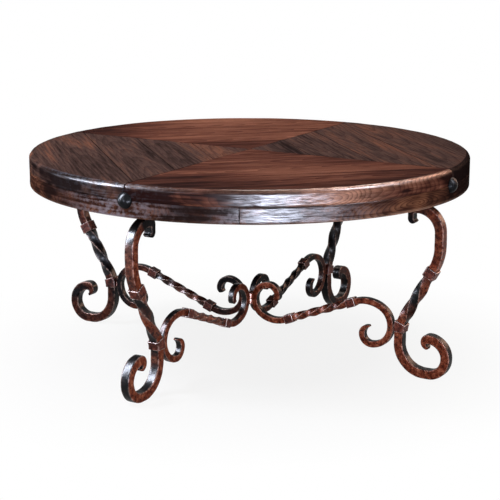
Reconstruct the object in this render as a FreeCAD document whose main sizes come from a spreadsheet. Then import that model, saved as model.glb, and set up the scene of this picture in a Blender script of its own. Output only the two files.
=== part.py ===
"""Round coffee table: a planked wooden top on a forged scroll base.

Millimetres, +Z up, origin on the floor under the middle of the top. The legs stand on the axes:
right on +X, back on +Y, left on -X, front on -Y. Legs and stretchers are drawn in the XZ plane as
(reach from the middle, height) and turned about Z to their sides.
"""
import FreeCAD, Part
import math
import os

import Sketcher
from FreeCAD import Placement, Rotation, Vector

# Driving dimensions: name, value, meaning. Lengths in millimetres, angles in degrees.
SIZES = (
    ("top_diameter", 1067.0, "table top, edge to edge"),
    ("table_height", 505.0, "floor to the top face"),
    ("board_thickness", 37.0, "upper course: the planks"),
    ("rim_thickness", 38.0, "lower course: the rim segments"),
    ("rim_width", 150.0, "rim segment, measured inwards"),
    ("rim_joint_angle", 28.0, "from a leg to the next rim butt joint"),
    ("top_edge_round", 10.0, "worn round-over of the top edge"),
    ("rim_edge_ease", 4.0, "eased lower edge of the rim"),
    ("rim_plank_extra", 61.5, "outermost planks, wider than the rest by this"),
    ("batten_width", 70.0, "cross battens under the wedge joints"),
    ("batten_thickness", 24.0, "cross battens, measured down"),
    ("batten_end_gap", 2.0, "batten end to the rim segments"),
    ("batten_screw_offset", 19.0, "screws to either side of a wedge joint"),
    ("screw_shank", 5.0, "wood screw shank diameter"),
    ("screw_head", 10.0, "wood screw head diameter"),
    ("screw_head_depth", 3.0, "countersunk depth of a screw head"),
    ("screw_bite", 22.0, "screw length in the wood it holds"),
    ("stud_diameter", 37.0, "stud head across the rim"),
    ("stud_height", 13.0, "stud head, proud of the rim"),
    ("stud_shank", 7.0, "stud shank diameter"),
    ("stud_length", 36.0, "stud shank in the rim"),
    ("leg_bar", 23.0, "square bar of the legs"),
    ("foot_reach", 486.0, "middle of the foot's flat from the table's middle"),
    ("foot_flat", 12.0, "straight stretch on the floor"),
    ("foot_back_radius", 66.0, "foot scroll, from the shank to the floor"),
    ("foot_front_radius", 42.0, "foot scroll, from the floor to its front"),
    ("foot_top_radius", 44.0, "foot scroll, from its front to its top"),
    ("foot_tail_radius", 19.0, "outside of the foot's curled end"),
    ("foot_tip", 7.0, "thickness of the foot's drawn-out tip"),
    ("shank_run", 23.5, "upright stretch above the foot scroll"),
    ("lower_bend", 75.0, "bend from the shank to the leaning stretch"),
    ("upper_bend", 107.0, "bend from the leaning stretch to the bow"),
    ("bow_run", 32.0, "upright stretch below the bow"),
    ("bow_radius", 54.5, "bow at the head of the leg"),
    ("bow_reach", 522.0, "outside of the bow from the table's middle"),
    ("bow_flat", 6.5, "straight stretch under the mounting plate"),
    ("curl_outer", 19.5, "outside of the turned-down head end"),
    ("curl_inner", 4.0, "inside of the turned-down head end"),
    ("curl_drop", 36.5, "from the plate down to the end hook"),
    ("hook_outer", 12.5, "outside of the end hook"),
    ("hook_inner", 6.0, "inside of the end hook"),
    ("leg_twist", 180.0, "turn of the bar between the leg collars"),
    ("collar_length", 25.0, "wrapped collars along the bar"),
    ("collar_strip", 3.0, "strip that a collar is wrapped from"),
    ("collar_clearance", 0.2, "between a collar and its bar"),
    ("collar_margin", 1.0, "between a collar and a twist or bend"),
    ("lower_collar_rise", 3.0, "from the lower bend's start to its collar"),
    ("plate_length", 80.0, "mounting plate, outwards"),
    ("plate_overhang", 12.0, "mounting plate, out past the bow's middle"),
    ("plate_width", 60.0, "mounting plate, across"),
    ("plate_thickness", 12.0, "mounting plate"),
    ("plate_screw_inset", 13.0, "screw centre from the plate's edges"),
    ("plate_setback", 4.0, "rim, at least this far inwards of the plates"),
    ("stretcher_bar", 16.0, "square bar of the stretchers"),
    ("arch_height", 113.0, "middle of the outer scroll above the floor"),
    ("arch_radius", 50.5, "outer scroll beside the leg"),
    ("crown_radius", 80.0, "top of the outer scroll"),
    ("lip_radius", 24.0, "outer scroll, before its tip"),
    ("lip_outer", 22.0, "outside of the outer scroll's tip"),
    ("lip_inner", 19.0, "inside of the outer scroll's tip"),
    ("weld_gap", 1.0, "between a stretcher and a leg collar"),
    ("weld_below", 3.0, "collar weld below its narrowest place"),
    ("weld_above", 12.0, "collar weld above its narrowest place"),
    ("hub_gap", 10.0, "back of an inner scroll from the table's middle"),
    ("hub_height", 131.0, "where the inner scrolls meet"),
    ("sole_radius", 75.0, "inner scroll, its flat lower stretch"),
    ("heel_radius", 43.0, "inner scroll, up to the hub"),
    ("shoulder_radius", 40.0, "inner scroll, from the hub to its top"),
    ("brow_radius", 25.0, "inner scroll, from its top to its front"),
    ("chin_outer", 14.0, "outside of the inner scroll's tip"),
    ("chin_inner", 9.0, "inside of the inner scroll's tip"),
    ("stretcher_twist", 360.0, "turn of the bar between the stretcher collars"),
    ("hub_weld_diameter", 32.0, "weld between the inner scrolls"),
    ("hub_weld_height", 33.0, "weld between the inner scrolls"),
)

# Sides in order round the table, with their turn about Z, and the wedge after each one.
QUARTER_ANGLE = 90.0
SIDES = tuple((side, QUARTER_ANGLE * number)
              for number, side in enumerate(("right", "back", "left", "front")))
WEDGES = tuple((side, angle + QUARTER_ANGLE / 2) for side, angle in SIDES)
PLANKS = 4
TWIST_STEP = 22.5
WELD_FACETS = 3

# Sizes that the sheet works out: name, formula, meaning.
FORMULAS = (
    ("plank_width", f"=(top_diameter / 2 - rim_plank_extra) / {PLANKS}",
     "planks of a wedge, but for the outermost"),
)

# Where the round stretches of the scrolls change radius, as angles about their middles.
CROWN_ANGLE = 60.0
LIP_OUTER_END = 75.0
LIP_INNER_END = 110.0
HEEL_ANGLE = 240.0
CHIN_OUTER_END = -80.0
CHIN_INNER_END = -60.0
HOOK_OUTER_END = 290.0

# A bend gives way when the leg is too short for it, and keeps this share of the room.
BEND_SHARE = 0.9
CUT_MARGIN = 5.0
JOIN_TOLERANCE = 1e-6

doc = FreeCAD.newDocument("coffee_table")
sheet = doc.addObject("Spreadsheet::Sheet", "Sizes")
for row, (alias, content, meaning) in enumerate(SIZES + FORMULAS, start=1):
    sheet.set(f"A{row}", alias)
    sheet.set(f"B{row}", str(content))
    sheet.set(f"C{row}", meaning)
    sheet.setAlias(f"B{row}", alias)
doc.recompute()

nodes = []


class Size:
    """A length: its number, and the expression that ties it to the sheet."""

    def __init__(self, number, text):
        self.number = number
        self.text = text

    def __add__(self, other):
        return Size(self.number + other.number, f"({self.text} + {other.text})")

    def __sub__(self, other):
        return Size(self.number - other.number, f"({self.text} - {other.text})")

    def __mul__(self, factor):
        return Size(self.number * factor, f"({self.text} * {factor})")


def least(first, second):
    """The smaller of two lengths."""
    return Size(min(first.number, second.number), f"min({first.text}; {second.text})")


def size(alias):
    """The sheet's size of that name."""
    return Size(float(sheet.get(alias)), f"{sheet.Name}.{alias}")


def mm(alias):
    """The number of the sheet's size of that name."""
    return float(sheet.get(alias))


def polar(centre, radius, angle):
    """The point at an angle in degrees on a circle."""
    turn = math.radians(angle)
    return (centre[0] + radius * math.cos(turn), centre[1] + radius * math.sin(turn))


def ahead(point, heading, distance):
    """The point a distance along a heading in degrees."""
    return polar(point, distance, heading)


def about_z(angle, x=0.0, y=0.0, z=0.0):
    """A placement that moves a shape to (x, y, z) and then turns it about the table's axis."""
    turn = Rotation(Vector(0, 0, 1), angle)
    return Placement(turn.multVec(Vector(x, y, z)), turn)


class Outline:
    """A closed outline of lines and arcs, drawn in order."""

    def __init__(self, start):
        self.start = start
        self.point = start
        self.pieces = []

    def line_to(self, point):
        """A straight line from where the outline has come to, unless it is there already."""
        if math.dist(point, self.point) < JOIN_TOLERANCE:
            return
        self.pieces.append((Part.LineSegment(Vector(*self.point), Vector(*point)), 1, 2, None))
        self.point = point

    def arc(self, centre, radius, first, last):
        """An arc about a centre from one angle to another, with a radius from the sheet."""
        self.line_to(polar(centre, radius.number, first))
        circle = Part.Circle(Vector(*centre), Vector(0, 0, 1), radius.number)
        low, high = math.radians(min(first, last)), math.radians(max(first, last))
        ends = (1, 2) if last > first else (2, 1)
        self.pieces.append((Part.ArcOfCircle(circle, low, high), *ends, radius))
        self.point = polar(centre, radius.number, last)

    def close(self):
        """A straight line back to the start."""
        self.line_to(self.start)

    def draw(self, sketch):
        """Put the outline in a sketch, joined end to end, its radii bound to the sheet."""
        count = len(self.pieces)
        for geometry, begin, end, radius in self.pieces:
            sketch.addGeometry(geometry, False)
        for index in range(count):
            following = (index + 1) % count
            sketch.addConstraint(Sketcher.Constraint(
                "Coincident", index, self.pieces[index][2], following, self.pieces[following][1]))
        for index, (geometry, begin, end, radius) in enumerate(self.pieces):
            if radius is not None:
                number = sketch.addConstraint(Sketcher.Constraint("Radius", index, radius.number))
                sketch.setExpression(f"Constraints[{number}]", radius.text)


def new_body(label, placement=None):
    """A body with its own label and place."""
    body = doc.addObject("PartDesign::Body", label)
    body.Label = label
    if placement is not None:
        body.Placement = placement
    return body


def plane_sketch(body, name, role, offset=None):
    """A sketch on one of its body's own origin planes."""
    sketch = body.newObject("Sketcher::SketchObject", name)
    plane = next(item for item in body.Origin.OriginFeatures if item.Role == role)
    sketch.AttachmentSupport = [(plane, "")]
    sketch.MapMode = "FlatFace"
    if offset is not None:
        sketch.AttachmentOffset = offset
    return sketch


def pad_outline(body, name, outline, width):
    """Pad an outline of the XZ plane evenly to both sides."""
    sketch = plane_sketch(body, f"{name}_outline", "XZ_Plane")
    outline.draw(sketch)
    pad = body.newObject("PartDesign::Pad", f"{name}_pad")
    pad.Profile = sketch
    pad.SideType = "Symmetric"
    pad.setExpression("Length", width.text)
    return pad


def revolve_outline(body, name, outline, axis, angle=360.0):
    """Revolve an outline of the XZ plane about one of the sketch's axes."""
    sketch = plane_sketch(body, f"{name}_outline", "XZ_Plane")
    outline.draw(sketch)
    turned = body.newObject("PartDesign::Revolution", f"{name}_revolution")
    turned.Profile = sketch
    turned.ReferenceAxis = (sketch, [axis])
    turned.Angle = angle
    return turned


def square(sketch, side):
    """A square about the sketch's middle, its side bound to the sheet."""
    first = sketch.GeometryCount
    half = side.number / 2
    corners = [(-half, -half), (half, -half), (half, half), (-half, half)]
    for index in range(4):
        ends = corners[index], corners[(index + 1) % 4]
        sketch.addGeometry(Part.LineSegment(Vector(*ends[0]), Vector(*ends[1])), False)
    for index in range(4):
        sketch.addConstraint(Sketcher.Constraint(
            "Coincident", first + index, 2, first + (index + 1) % 4, 1))
    for index, kind in enumerate(("Horizontal", "Vertical", "Horizontal", "Vertical")):
        sketch.addConstraint(Sketcher.Constraint(kind, first + index))
    sketch.addConstraint(Sketcher.Constraint("Equal", first, first + 1))
    sketch.addConstraint(Sketcher.Constraint("Symmetric", first, 1, first + 1, 2, -1, 1))
    number = sketch.addConstraint(Sketcher.Constraint("DistanceX", first, 1, first, 2, side.number))
    sketch.setExpression(f"Constraints[{number}]", side.text)


def across_bar(point, heading, turn=0.0):
    """The place of a section across a bar that runs in the XZ plane, turned about the bar."""
    slope = math.radians(heading)
    along = Vector(math.cos(slope), 0, math.sin(slope))
    upper = Vector(-math.sin(slope), 0, math.cos(slope))
    level = Rotation(upper, Vector(0, -1, 0), along, "ZXY")
    return Placement(Vector(point[0], 0, point[1]), Rotation(along, turn).multiply(level))


def twist_bar(body, name, start, heading, length, turn, bar):
    """A left-hand twist: a ruled loft through square sections, each turned a step further."""
    steps = max(2, round(turn / TWIST_STEP))
    sections = []
    for step in range(steps + 1):
        share = step / steps
        place = across_bar(ahead(start, heading, length * share), heading, -turn * share)
        section = plane_sketch(body, f"{name}_section_{step}", "XY_Plane", place)
        square(section, bar)
        sections.append(section)
    loft = body.newObject("PartDesign::AdditiveLoft", f"{name}_twist")
    loft.Profile = sections[0]
    loft.Sections = sections[1:]
    loft.Ruled = True
    return loft


def straight_collar(label, angle, start, heading, bar):
    """A collar wrapped round a straight stretch of square bar, from a point along a heading."""
    body = new_body(label, about_z(angle))
    sketch = plane_sketch(body, f"{label}_section", "XY_Plane", across_bar(start, heading))
    bore = bar + size("collar_clearance") * 2
    square(sketch, bore + size("collar_strip") * 2)
    square(sketch, bore)
    pad = body.newObject("PartDesign::Pad", f"{label}_pad")
    pad.Profile = sketch
    pad.setExpression("Length", size("collar_length").text)
    nodes.append(body)
    return body


def cut(label, base, tool):
    """The base without the tool."""
    result = doc.addObject("Part::Cut", label)
    result.Label = label
    result.Base = base
    result.Tool = tool
    return result


def compound(label, members):
    """Separate solids kept as one group."""
    group = doc.addObject("Part::Compound", label)
    group.Label = label
    group.Links = members
    return group


def box(name, length, width, height, placement):
    """A box whose three sizes are bound to the sheet."""
    block = doc.addObject("Part::Box", name)
    for side, amount in (("Length", length), ("Width", width), ("Height", height)):
        block.setExpression(side, amount.text)
    block.Placement = placement
    return block


def wood_screw(name, x, y, z, angle, held):
    """A countersunk screw that points up through a piece of the given thickness."""
    place = about_z(angle, x, y, z)
    head = doc.addObject("Part::Cone", f"{name}_head")
    head.setExpression("Radius1", (size("screw_head") * 0.5).text)
    head.setExpression("Radius2", (size("screw_shank") * 0.5).text)
    head.setExpression("Height", size("screw_head_depth").text)
    head.Placement = place
    shank = doc.addObject("Part::Cylinder", f"{name}_shank")
    shank.setExpression("Radius", (size("screw_shank") * 0.5).text)
    shank.setExpression("Height", (held + size("screw_bite") - size("screw_head_depth")).text)
    shank.Placement = about_z(angle, x, y, z + mm("screw_head_depth"))
    screw = doc.addObject("Part::Fuse", name)
    screw.Base = head
    screw.Tool = shank
    return screw


# Levels and reaches that several pieces share.
top_radius = size("top_diameter") * 0.5
seam_level = mm("table_height") - mm("board_thickness")
rim_level = seam_level - mm("rim_thickness")
plate_level = rim_level - mm("plate_thickness")
batten_level = seam_level - mm("batten_thickness")
leg_half = size("leg_bar") * 0.5
stretcher_half = size("stretcher_bar") * 0.5
wrap = size("collar_clearance") + size("collar_strip")

# The plates lie on the legs' bows, and the rim reaches inwards past them.
bow_axis = size("bow_reach") - leg_half - size("bow_radius")
plate_inner = bow_axis + size("plate_overhang") - size("plate_length")
plate_middle = plate_inner.number + mm("plate_length") / 2
rim_bore = least(top_radius - size("rim_width"), plate_inner - size("plate_setback"))
batten_reach = rim_bore - size("batten_end_gap")

# Leg: the foot scroll stands on the floor, and the two bends join it to the bow by a leaning line
# that touches both, one bend on each side of it.
foot_back = (mm("foot_reach") - mm("foot_flat") / 2, leg_half.number + mm("foot_back_radius"))
foot_front = (mm("foot_reach") + mm("foot_flat") / 2, leg_half.number + mm("foot_front_radius"))
foot_top = (foot_front[0] + mm("foot_front_radius") - mm("foot_top_radius"), foot_front[1])
shank_reach = foot_back[0] - mm("foot_back_radius")
bend_start = foot_back[1] + mm("shank_run")
bow_middle = mm("bow_reach") - leg_half.number
bow_centre = (bow_axis.number, plate_level - leg_half.number - mm("bow_radius"))
bend_end = bow_centre[1] - mm("bow_run")
lean_out = bow_middle - shank_reach
lean_up = bend_end - bend_start
bend_room = (lean_up ** 2 + lean_out ** 2) / (2 * lean_out)
bend_ease = min(1.0, BEND_SHARE * bend_room / (mm("lower_bend") + mm("upper_bend")))
lower_bend = size("lower_bend") * bend_ease
upper_bend = size("upper_bend") * bend_ease
low_centre = (shank_reach + lower_bend.number, bend_start)
high_centre = (bow_middle - upper_bend.number, bend_end)
centre_span = math.dist(low_centre, high_centre)
both_bends = lower_bend.number + upper_bend.number
lean = math.degrees(math.asin(both_bends / centre_span)
                    + math.atan2(high_centre[0] - low_centre[0], lean_up))
lean_length = math.sqrt(centre_span ** 2 - both_bends ** 2)
lean_heading = 90 - lean
lean_start = polar(low_centre, lower_bend.number, 180 - lean)

# The lower collar starts on the lower bend. Where that is too short for it, the collar runs on along the
# leaning line, and the twist starts after it.
collar_room = mm("collar_length") + 2 * mm("collar_margin")
bend_run = lower_bend.number * math.radians(lean)
low_collar_first = mm("lower_collar_rise")
low_collar_last = low_collar_first + mm("collar_length")
twist_lead = max(0.0, low_collar_last + mm("collar_margin") - bend_run)
leg_twist_start = ahead(lean_start, lean_heading, twist_lead)
leg_twist_length = lean_length - collar_room - twist_lead
leg_twist_end = ahead(leg_twist_start, lean_heading, leg_twist_length)
upper_collar_start = ahead(leg_twist_end, lean_heading, mm("collar_margin"))


def bend_angle(run):
    """The angle about the lower bend's middle after a run from its start, as far as the bend goes."""
    return 180 - math.degrees(min(run, bend_run) / lower_bend.number)


def bend_point(radius, run):
    """The point at a radius of the lower bend after a run, and on along the leaning line after it."""
    return ahead(polar(low_centre, radius, bend_angle(run)), lean_heading, max(0.0, run - bend_run))


# Stretcher: the outer scroll's back lies a weld's width from the lower leg collar, the inner scroll's
# back stands beside the table's middle, and a sloping line touches the top of one and the sole of
# the other. The scroll faces the bend, or the leaning line where the bend ends below it.
collar_back = lower_bend + leg_half + wrap
arch_back = size("arch_radius") + stretcher_half
weld_span = arch_back.number + mm("weld_gap")
arch_drop = mm("arch_height") - low_centre[1]
arch_reach = low_centre[0] - math.sqrt((collar_back.number + weld_span) ** 2 - arch_drop ** 2)
toward = math.degrees(math.atan2(-arch_drop, low_centre[0] - arch_reach))
weld_run = lower_bend.number * math.radians(-toward)
if weld_run > bend_run:
    toward = -lean
    lean_foot = bend_point(collar_back.number, bend_run)
    lean_rise = mm("arch_height") - lean_foot[1]
    lean_run = (lean_rise - weld_span * math.sin(math.radians(lean))) / math.cos(math.radians(lean))
    arch_reach = ahead(ahead(lean_foot, lean_heading, lean_run), toward, -weld_span)[0]
    weld_run = bend_run + lean_run
arch_centre = (arch_reach, mm("arch_height"))
crown_centre = polar(arch_centre, mm("arch_radius") - mm("crown_radius"), CROWN_ANGLE)
lip_centre = (arch_centre[0], arch_centre[1] - mm("arch_radius") + mm("lip_radius"))
hub_reach = mm("hub_gap") + stretcher_half.number
heel_centre = (hub_reach + mm("heel_radius"), mm("hub_height"))
sole_centre = polar(heel_centre, mm("heel_radius") - mm("sole_radius"), HEEL_ANGLE)
shoulder_centre = (hub_reach + mm("shoulder_radius"), mm("hub_height"))
brow_centre = (shoulder_centre[0], shoulder_centre[1] + mm("shoulder_radius") - mm("brow_radius"))
scroll_span = math.dist(sole_centre, crown_centre)
both_scrolls = mm("sole_radius") + mm("crown_radius")
slope = math.degrees(math.asin(both_scrolls / scroll_span)
                     + math.atan2(crown_centre[1] - sole_centre[1], crown_centre[0] - sole_centre[0]))
slope_length = math.sqrt(scroll_span ** 2 - both_scrolls ** 2)
slope_start = polar(sole_centre, mm("sole_radius"), slope - 90)
inner_collar_start = ahead(slope_start, slope, mm("collar_margin"))
stretcher_twist_start = ahead(slope_start, slope, collar_room)
stretcher_twist_length = slope_length - 2 * collar_room
stretcher_twist_end = ahead(stretcher_twist_start, slope, stretcher_twist_length)
outer_collar_start = ahead(stretcher_twist_end, slope, mm("collar_margin"))


def foot_outline():
    """Foot scroll, shank and lower bend, up to the twisted stretch."""
    tail_outer = size("foot_tail_radius")
    tail_inner = tail_outer - (size("leg_bar") + size("foot_tip")) * 0.5
    crest = foot_top[1] + mm("foot_top_radius") + leg_half.number
    tail_centre = (foot_top[0], crest - tail_outer.number)
    eye_centre = (foot_top[0], crest - mm("leg_bar") - tail_inner.number)
    outline = Outline(ahead(leg_twist_start, lean_heading + 90, leg_half.number))
    outline.arc(low_centre, lower_bend + leg_half, 180 - lean, 180)
    outline.arc(foot_back, size("foot_back_radius") + leg_half, 180, 270)
    outline.arc(foot_front, size("foot_front_radius") + leg_half, 270, 360)
    outline.arc(foot_top, size("foot_top_radius") + leg_half, 0, 90)
    outline.arc(tail_centre, tail_outer, 90, 270)
    outline.arc(eye_centre, tail_inner, 270, 90)
    outline.arc(foot_top, size("foot_top_radius") - leg_half, 90, 0)
    outline.arc(foot_front, size("foot_front_radius") - leg_half, 360, 270)
    outline.arc(foot_back, size("foot_back_radius") - leg_half, 270, 180)
    outline.arc(low_centre, lower_bend - leg_half, 180, 180 - lean)
    outline.line_to(ahead(leg_twist_start, lean_heading - 90, leg_half.number))
    outline.close()
    return outline


def bow_outline():
    """Upper bend, bow and turned-down end, from the twisted stretch on."""
    head_reach = bow_centre[0] - mm("bow_flat")
    curl_level = plate_level - mm("curl_outer")
    eye_level = plate_level - mm("leg_bar") - mm("curl_inner")
    hook_level = plate_level - mm("curl_drop")
    hook_centre = (head_reach - mm("curl_outer") + mm("hook_outer"), hook_level)
    hook_eye = (head_reach - mm("curl_inner") + mm("hook_inner"), hook_level)
    outline = Outline(ahead(leg_twist_end, lean_heading - 90, leg_half.number))
    outline.arc(high_centre, upper_bend + leg_half, -lean, 0)
    outline.arc(bow_centre, size("bow_radius") + leg_half, 0, 90)
    outline.arc((head_reach, curl_level), size("curl_outer"), 90, 180)
    outline.arc(hook_centre, size("hook_outer"), 180, HOOK_OUTER_END)
    outline.arc(hook_eye, size("hook_inner"), 270, 180)
    outline.arc((head_reach, eye_level), size("curl_inner"), 180, 90)
    outline.arc(bow_centre, size("bow_radius") - leg_half, 90, 0)
    outline.arc(high_centre, upper_bend - leg_half, 0, -lean)
    outline.line_to(ahead(leg_twist_end, lean_heading + 90, leg_half.number))
    outline.close()
    return outline


def arch_outline():
    """Outer scroll of a stretcher, from the twisted stretch to its tip beside the leg."""
    back = lip_centre[0] - mm("lip_radius")
    tip_outer = (back - stretcher_half.number + mm("lip_outer"), lip_centre[1])
    tip_inner = (back + stretcher_half.number + mm("lip_inner"), lip_centre[1])
    outline = Outline(ahead(stretcher_twist_end, slope + 90, stretcher_half.number))
    outline.arc(crown_centre, size("crown_radius") + stretcher_half, 90 + slope, CROWN_ANGLE)
    outline.arc(arch_centre, arch_back, CROWN_ANGLE, -90)
    outline.arc(lip_centre, size("lip_radius") + stretcher_half, -90, -180)
    outline.arc(tip_outer, size("lip_outer"), 180, LIP_OUTER_END)
    outline.arc(tip_inner, size("lip_inner"), LIP_INNER_END, 180)
    outline.arc(lip_centre, size("lip_radius") - stretcher_half, -180, -90)
    outline.arc(arch_centre, size("arch_radius") - stretcher_half, -90, CROWN_ANGLE)
    outline.arc(crown_centre, size("crown_radius") - stretcher_half, CROWN_ANGLE, 90 + slope)
    outline.line_to(ahead(stretcher_twist_end, slope - 90, stretcher_half.number))
    outline.close()
    return outline


def hub_outline():
    """Inner scroll of a stretcher, from the twisted stretch round to its tip by the middle."""
    front = brow_centre[0] + mm("brow_radius")
    tip_outer = (front + stretcher_half.number - mm("chin_outer"), brow_centre[1])
    tip_inner = (front - stretcher_half.number - mm("chin_inner"), brow_centre[1])
    outline = Outline(ahead(stretcher_twist_start, slope - 90, stretcher_half.number))
    outline.arc(sole_centre, size("sole_radius") + stretcher_half, 270 + slope, HEEL_ANGLE)
    outline.arc(heel_centre, size("heel_radius") + stretcher_half, HEEL_ANGLE, 180)
    outline.arc(shoulder_centre, size("shoulder_radius") + stretcher_half, 180, 90)
    outline.arc(brow_centre, size("brow_radius") + stretcher_half, 90, 0)
    outline.arc(tip_outer, size("chin_outer"), 0, CHIN_OUTER_END)
    outline.arc(tip_inner, size("chin_inner"), CHIN_INNER_END, 0)
    outline.arc(brow_centre, size("brow_radius") - stretcher_half, 0, 90)
    outline.arc(shoulder_centre, size("shoulder_radius") - stretcher_half, 90, 180)
    outline.arc(heel_centre, size("heel_radius") - stretcher_half, 180, HEEL_ANGLE)
    outline.arc(sole_centre, size("sole_radius") - stretcher_half, HEEL_ANGLE, 270 + slope)
    outline.line_to(ahead(stretcher_twist_start, slope + 90, stretcher_half.number))
    outline.close()
    return outline


def bend_stretch(outer, inner, first, last):
    """A stretch of the lower bend and the leaning line after it, between two radii and two runs."""
    angles = bend_angle(first), bend_angle(last)
    outline = Outline(bend_point(outer.number, first))
    if angles[0] > angles[1]:
        outline.arc(low_centre, outer, *angles)
    outline.line_to(bend_point(outer.number, last))
    outline.line_to(bend_point(inner.number, last))
    if angles[0] > angles[1]:
        outline.arc(low_centre, inner, *reversed(angles))
    outline.line_to(bend_point(inner.number, first))
    outline.close()
    return outline


def make_leg(side, angle):
    """One leg: foot scroll, twisted stretch and bow."""
    name = f"leg_{side}"
    leg = new_body(name, about_z(angle))
    pad_outline(leg, f"{name}_foot", foot_outline(), size("leg_bar"))
    twist_bar(leg, name, leg_twist_start, lean_heading, leg_twist_length, mm("leg_twist"),
              size("leg_bar"))
    pad_outline(leg, f"{name}_bow", bow_outline(), size("leg_bar"))
    nodes.append(leg)


def make_lower_collar(side, angle):
    """The collar that is wrapped round a leg's lower bend, and follows it."""
    name = f"leg_collar_lower_{side}"
    collar = new_body(name, about_z(angle))
    bore = leg_half + size("collar_clearance")
    whole = bend_stretch(collar_back, lower_bend - leg_half - wrap, low_collar_first, low_collar_last)
    pad_outline(collar, name, whole, size("leg_bar") + wrap * 2)
    sketch = plane_sketch(collar, f"{name}_bore_outline", "XZ_Plane")
    bend_stretch(lower_bend + bore, lower_bend - bore, low_collar_first - CUT_MARGIN,
                 low_collar_last + CUT_MARGIN).draw(sketch)
    pocket = collar.newObject("PartDesign::Pocket", f"{name}_bore")
    pocket.Profile = sketch
    pocket.SideType = "Symmetric"
    pocket.setExpression("Length", (bore * 2).text)
    nodes.append(collar)


def make_stretcher(side, angle):
    """One stretcher: inner scroll, twisted stretch and outer scroll."""
    name = f"stretcher_{side}"
    bar = size("stretcher_bar")
    stretcher = new_body(name, about_z(angle))
    pad_outline(stretcher, f"{name}_hub", hub_outline(), bar)
    twist_bar(stretcher, name, stretcher_twist_start, slope, stretcher_twist_length,
              mm("stretcher_twist"), bar)
    pad_outline(stretcher, f"{name}_arch", arch_outline(), bar)
    nodes.append(stretcher)
    return stretcher


def facet_corners(first, last):
    """Corners of flat facets that touch a round back: each one's angle, and its share of the radius."""
    step = (last - first) / WELD_FACETS
    lift = 1 / math.cos(math.radians(step / 2))
    between = [(first + step * (number + 0.5), lift) for number in range(WELD_FACETS)]
    return [(first, 1.0)] + between + [(last, 1.0)]


def make_collar_weld(side, angle):
    """The weld between a stretcher's back and a lower leg collar, in flat facets that touch both."""
    name = f"collar_weld_{side}"
    arch_ends = [toward + math.degrees(math.asin(reach / arch_back.number))
                 for reach in (-mm("weld_below"), mm("weld_above"))]
    collar_ends = [math.degrees(math.asin(reach / collar_back.number))
                   for reach in (mm("weld_above"), -mm("weld_below"))]
    outline = Outline(polar(arch_centre, arch_back.number, arch_ends[0]))
    for turn, share in facet_corners(*arch_ends):
        outline.line_to(polar(arch_centre, arch_back.number * share, turn))
    for turn, share in facet_corners(*collar_ends):
        run = weld_run + lower_bend.number * math.radians(turn)
        outline.line_to(bend_point(collar_back.number * share, run))
    outline.close()
    weld = new_body(name, about_z(angle))
    pad_outline(weld, name, outline, size("stretcher_bar"))
    return weld


def make_hub_weld(stretchers):
    """The weld between the four inner scrolls: a short round plug that fits round their backs."""
    plug = doc.addObject("Part::Cylinder", "hub_weld_plug")
    plug.setExpression("Radius", (size("hub_weld_diameter") * 0.5).text)
    plug.setExpression("Height", size("hub_weld_height").text)
    plug.Placement = about_z(0, z=mm("hub_height") - mm("hub_weld_height") / 2)
    nodes.append(cut("centre_weld", plug, compound("stretcher_group", stretchers)))


def make_stud(side, angle):
    """A round-headed stud: a domed head on the rim and a shank in the seam."""
    name = f"stud_{side}"
    head, shank = size("stud_diameter") * 0.5, size("stud_shank") * 0.5
    dome = (head.number ** 2 + mm("stud_height") ** 2) / (2 * mm("stud_height"))
    dome_text = f"(({head.text})^2 + {sheet.Name}.stud_height^2) / (2 * {sheet.Name}.stud_height)"
    dome_centre = (mm("stud_height") - dome, 0.0)
    brim = math.degrees(math.atan2(head.number, -dome_centre[0]))
    outline = Outline((-mm("stud_length"), 0.0))
    outline.line_to((-mm("stud_length"), shank.number))
    outline.line_to((0.0, shank.number))
    outline.line_to((0.0, head.number))
    outline.arc(dome_centre, Size(dome, dome_text), brim, 0)
    outline.close()
    stud = new_body(name, about_z(angle, x=top_radius.number, z=seam_level))
    revolve_outline(stud, name, outline, "H_Axis")
    nodes.append(stud)
    return stud


def make_top_disc():
    """The whole upper course, before it is divided into planks."""
    edge = size("top_edge_round")
    height = mm("table_height")
    outline = Outline((0.0, seam_level))
    outline.line_to((top_radius.number, seam_level))
    outline.arc((top_radius.number - edge.number, height - edge.number), edge, 0, 90)
    outline.line_to((0.0, height))
    outline.close()
    disc = new_body("top_disc")
    revolve_outline(disc, "top_disc", outline, "V_Axis")
    return disc


def make_boards(disc, fastenings):
    """The planks: each lies across its wedge, square to the wedge's middle line."""
    reach = top_radius + size("stud_height")
    for side, middle in WEDGES:
        wedge = box(f"wedge_{side}", reach, reach, size("table_height"),
                    about_z(middle - QUARTER_ANGLE / 2))
        for number in range(PLANKS):
            inner = size("plank_width") * number
            width = size("plank_width") if number < PLANKS - 1 else reach - inner
            place = about_z(middle, x=inner.number, y=-reach.number)
            strip = box(f"strip_{side}_{number + 1}", width, reach * 2, size("table_height"), place)
            plank = doc.addObject("Part::MultiCommon", f"plank_{side}_{number + 1}")
            plank.Shapes = [disc, wedge, strip]
            nodes.append(cut(f"board_{side}_{number + 1}", plank, fastenings))


def make_rim(fastenings):
    """The lower course: four quarter rings, butt-jointed away from the legs."""
    ease = size("rim_edge_ease")
    for side, angle in SIDES:
        name = f"rim_segment_{side}"
        outline = Outline((rim_bore.number, rim_level))
        outline.arc((top_radius.number - ease.number, rim_level + ease.number), ease, 270, 360)
        outline.line_to((top_radius.number, seam_level))
        outline.line_to((rim_bore.number, seam_level))
        outline.close()
        ring = new_body(f"ring_{side}", about_z(angle + mm("rim_joint_angle") - QUARTER_ANGLE))
        revolve_outline(ring, name, outline, "V_Axis", QUARTER_ANGLE)
        nodes.append(cut(name, ring, fastenings))


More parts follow.
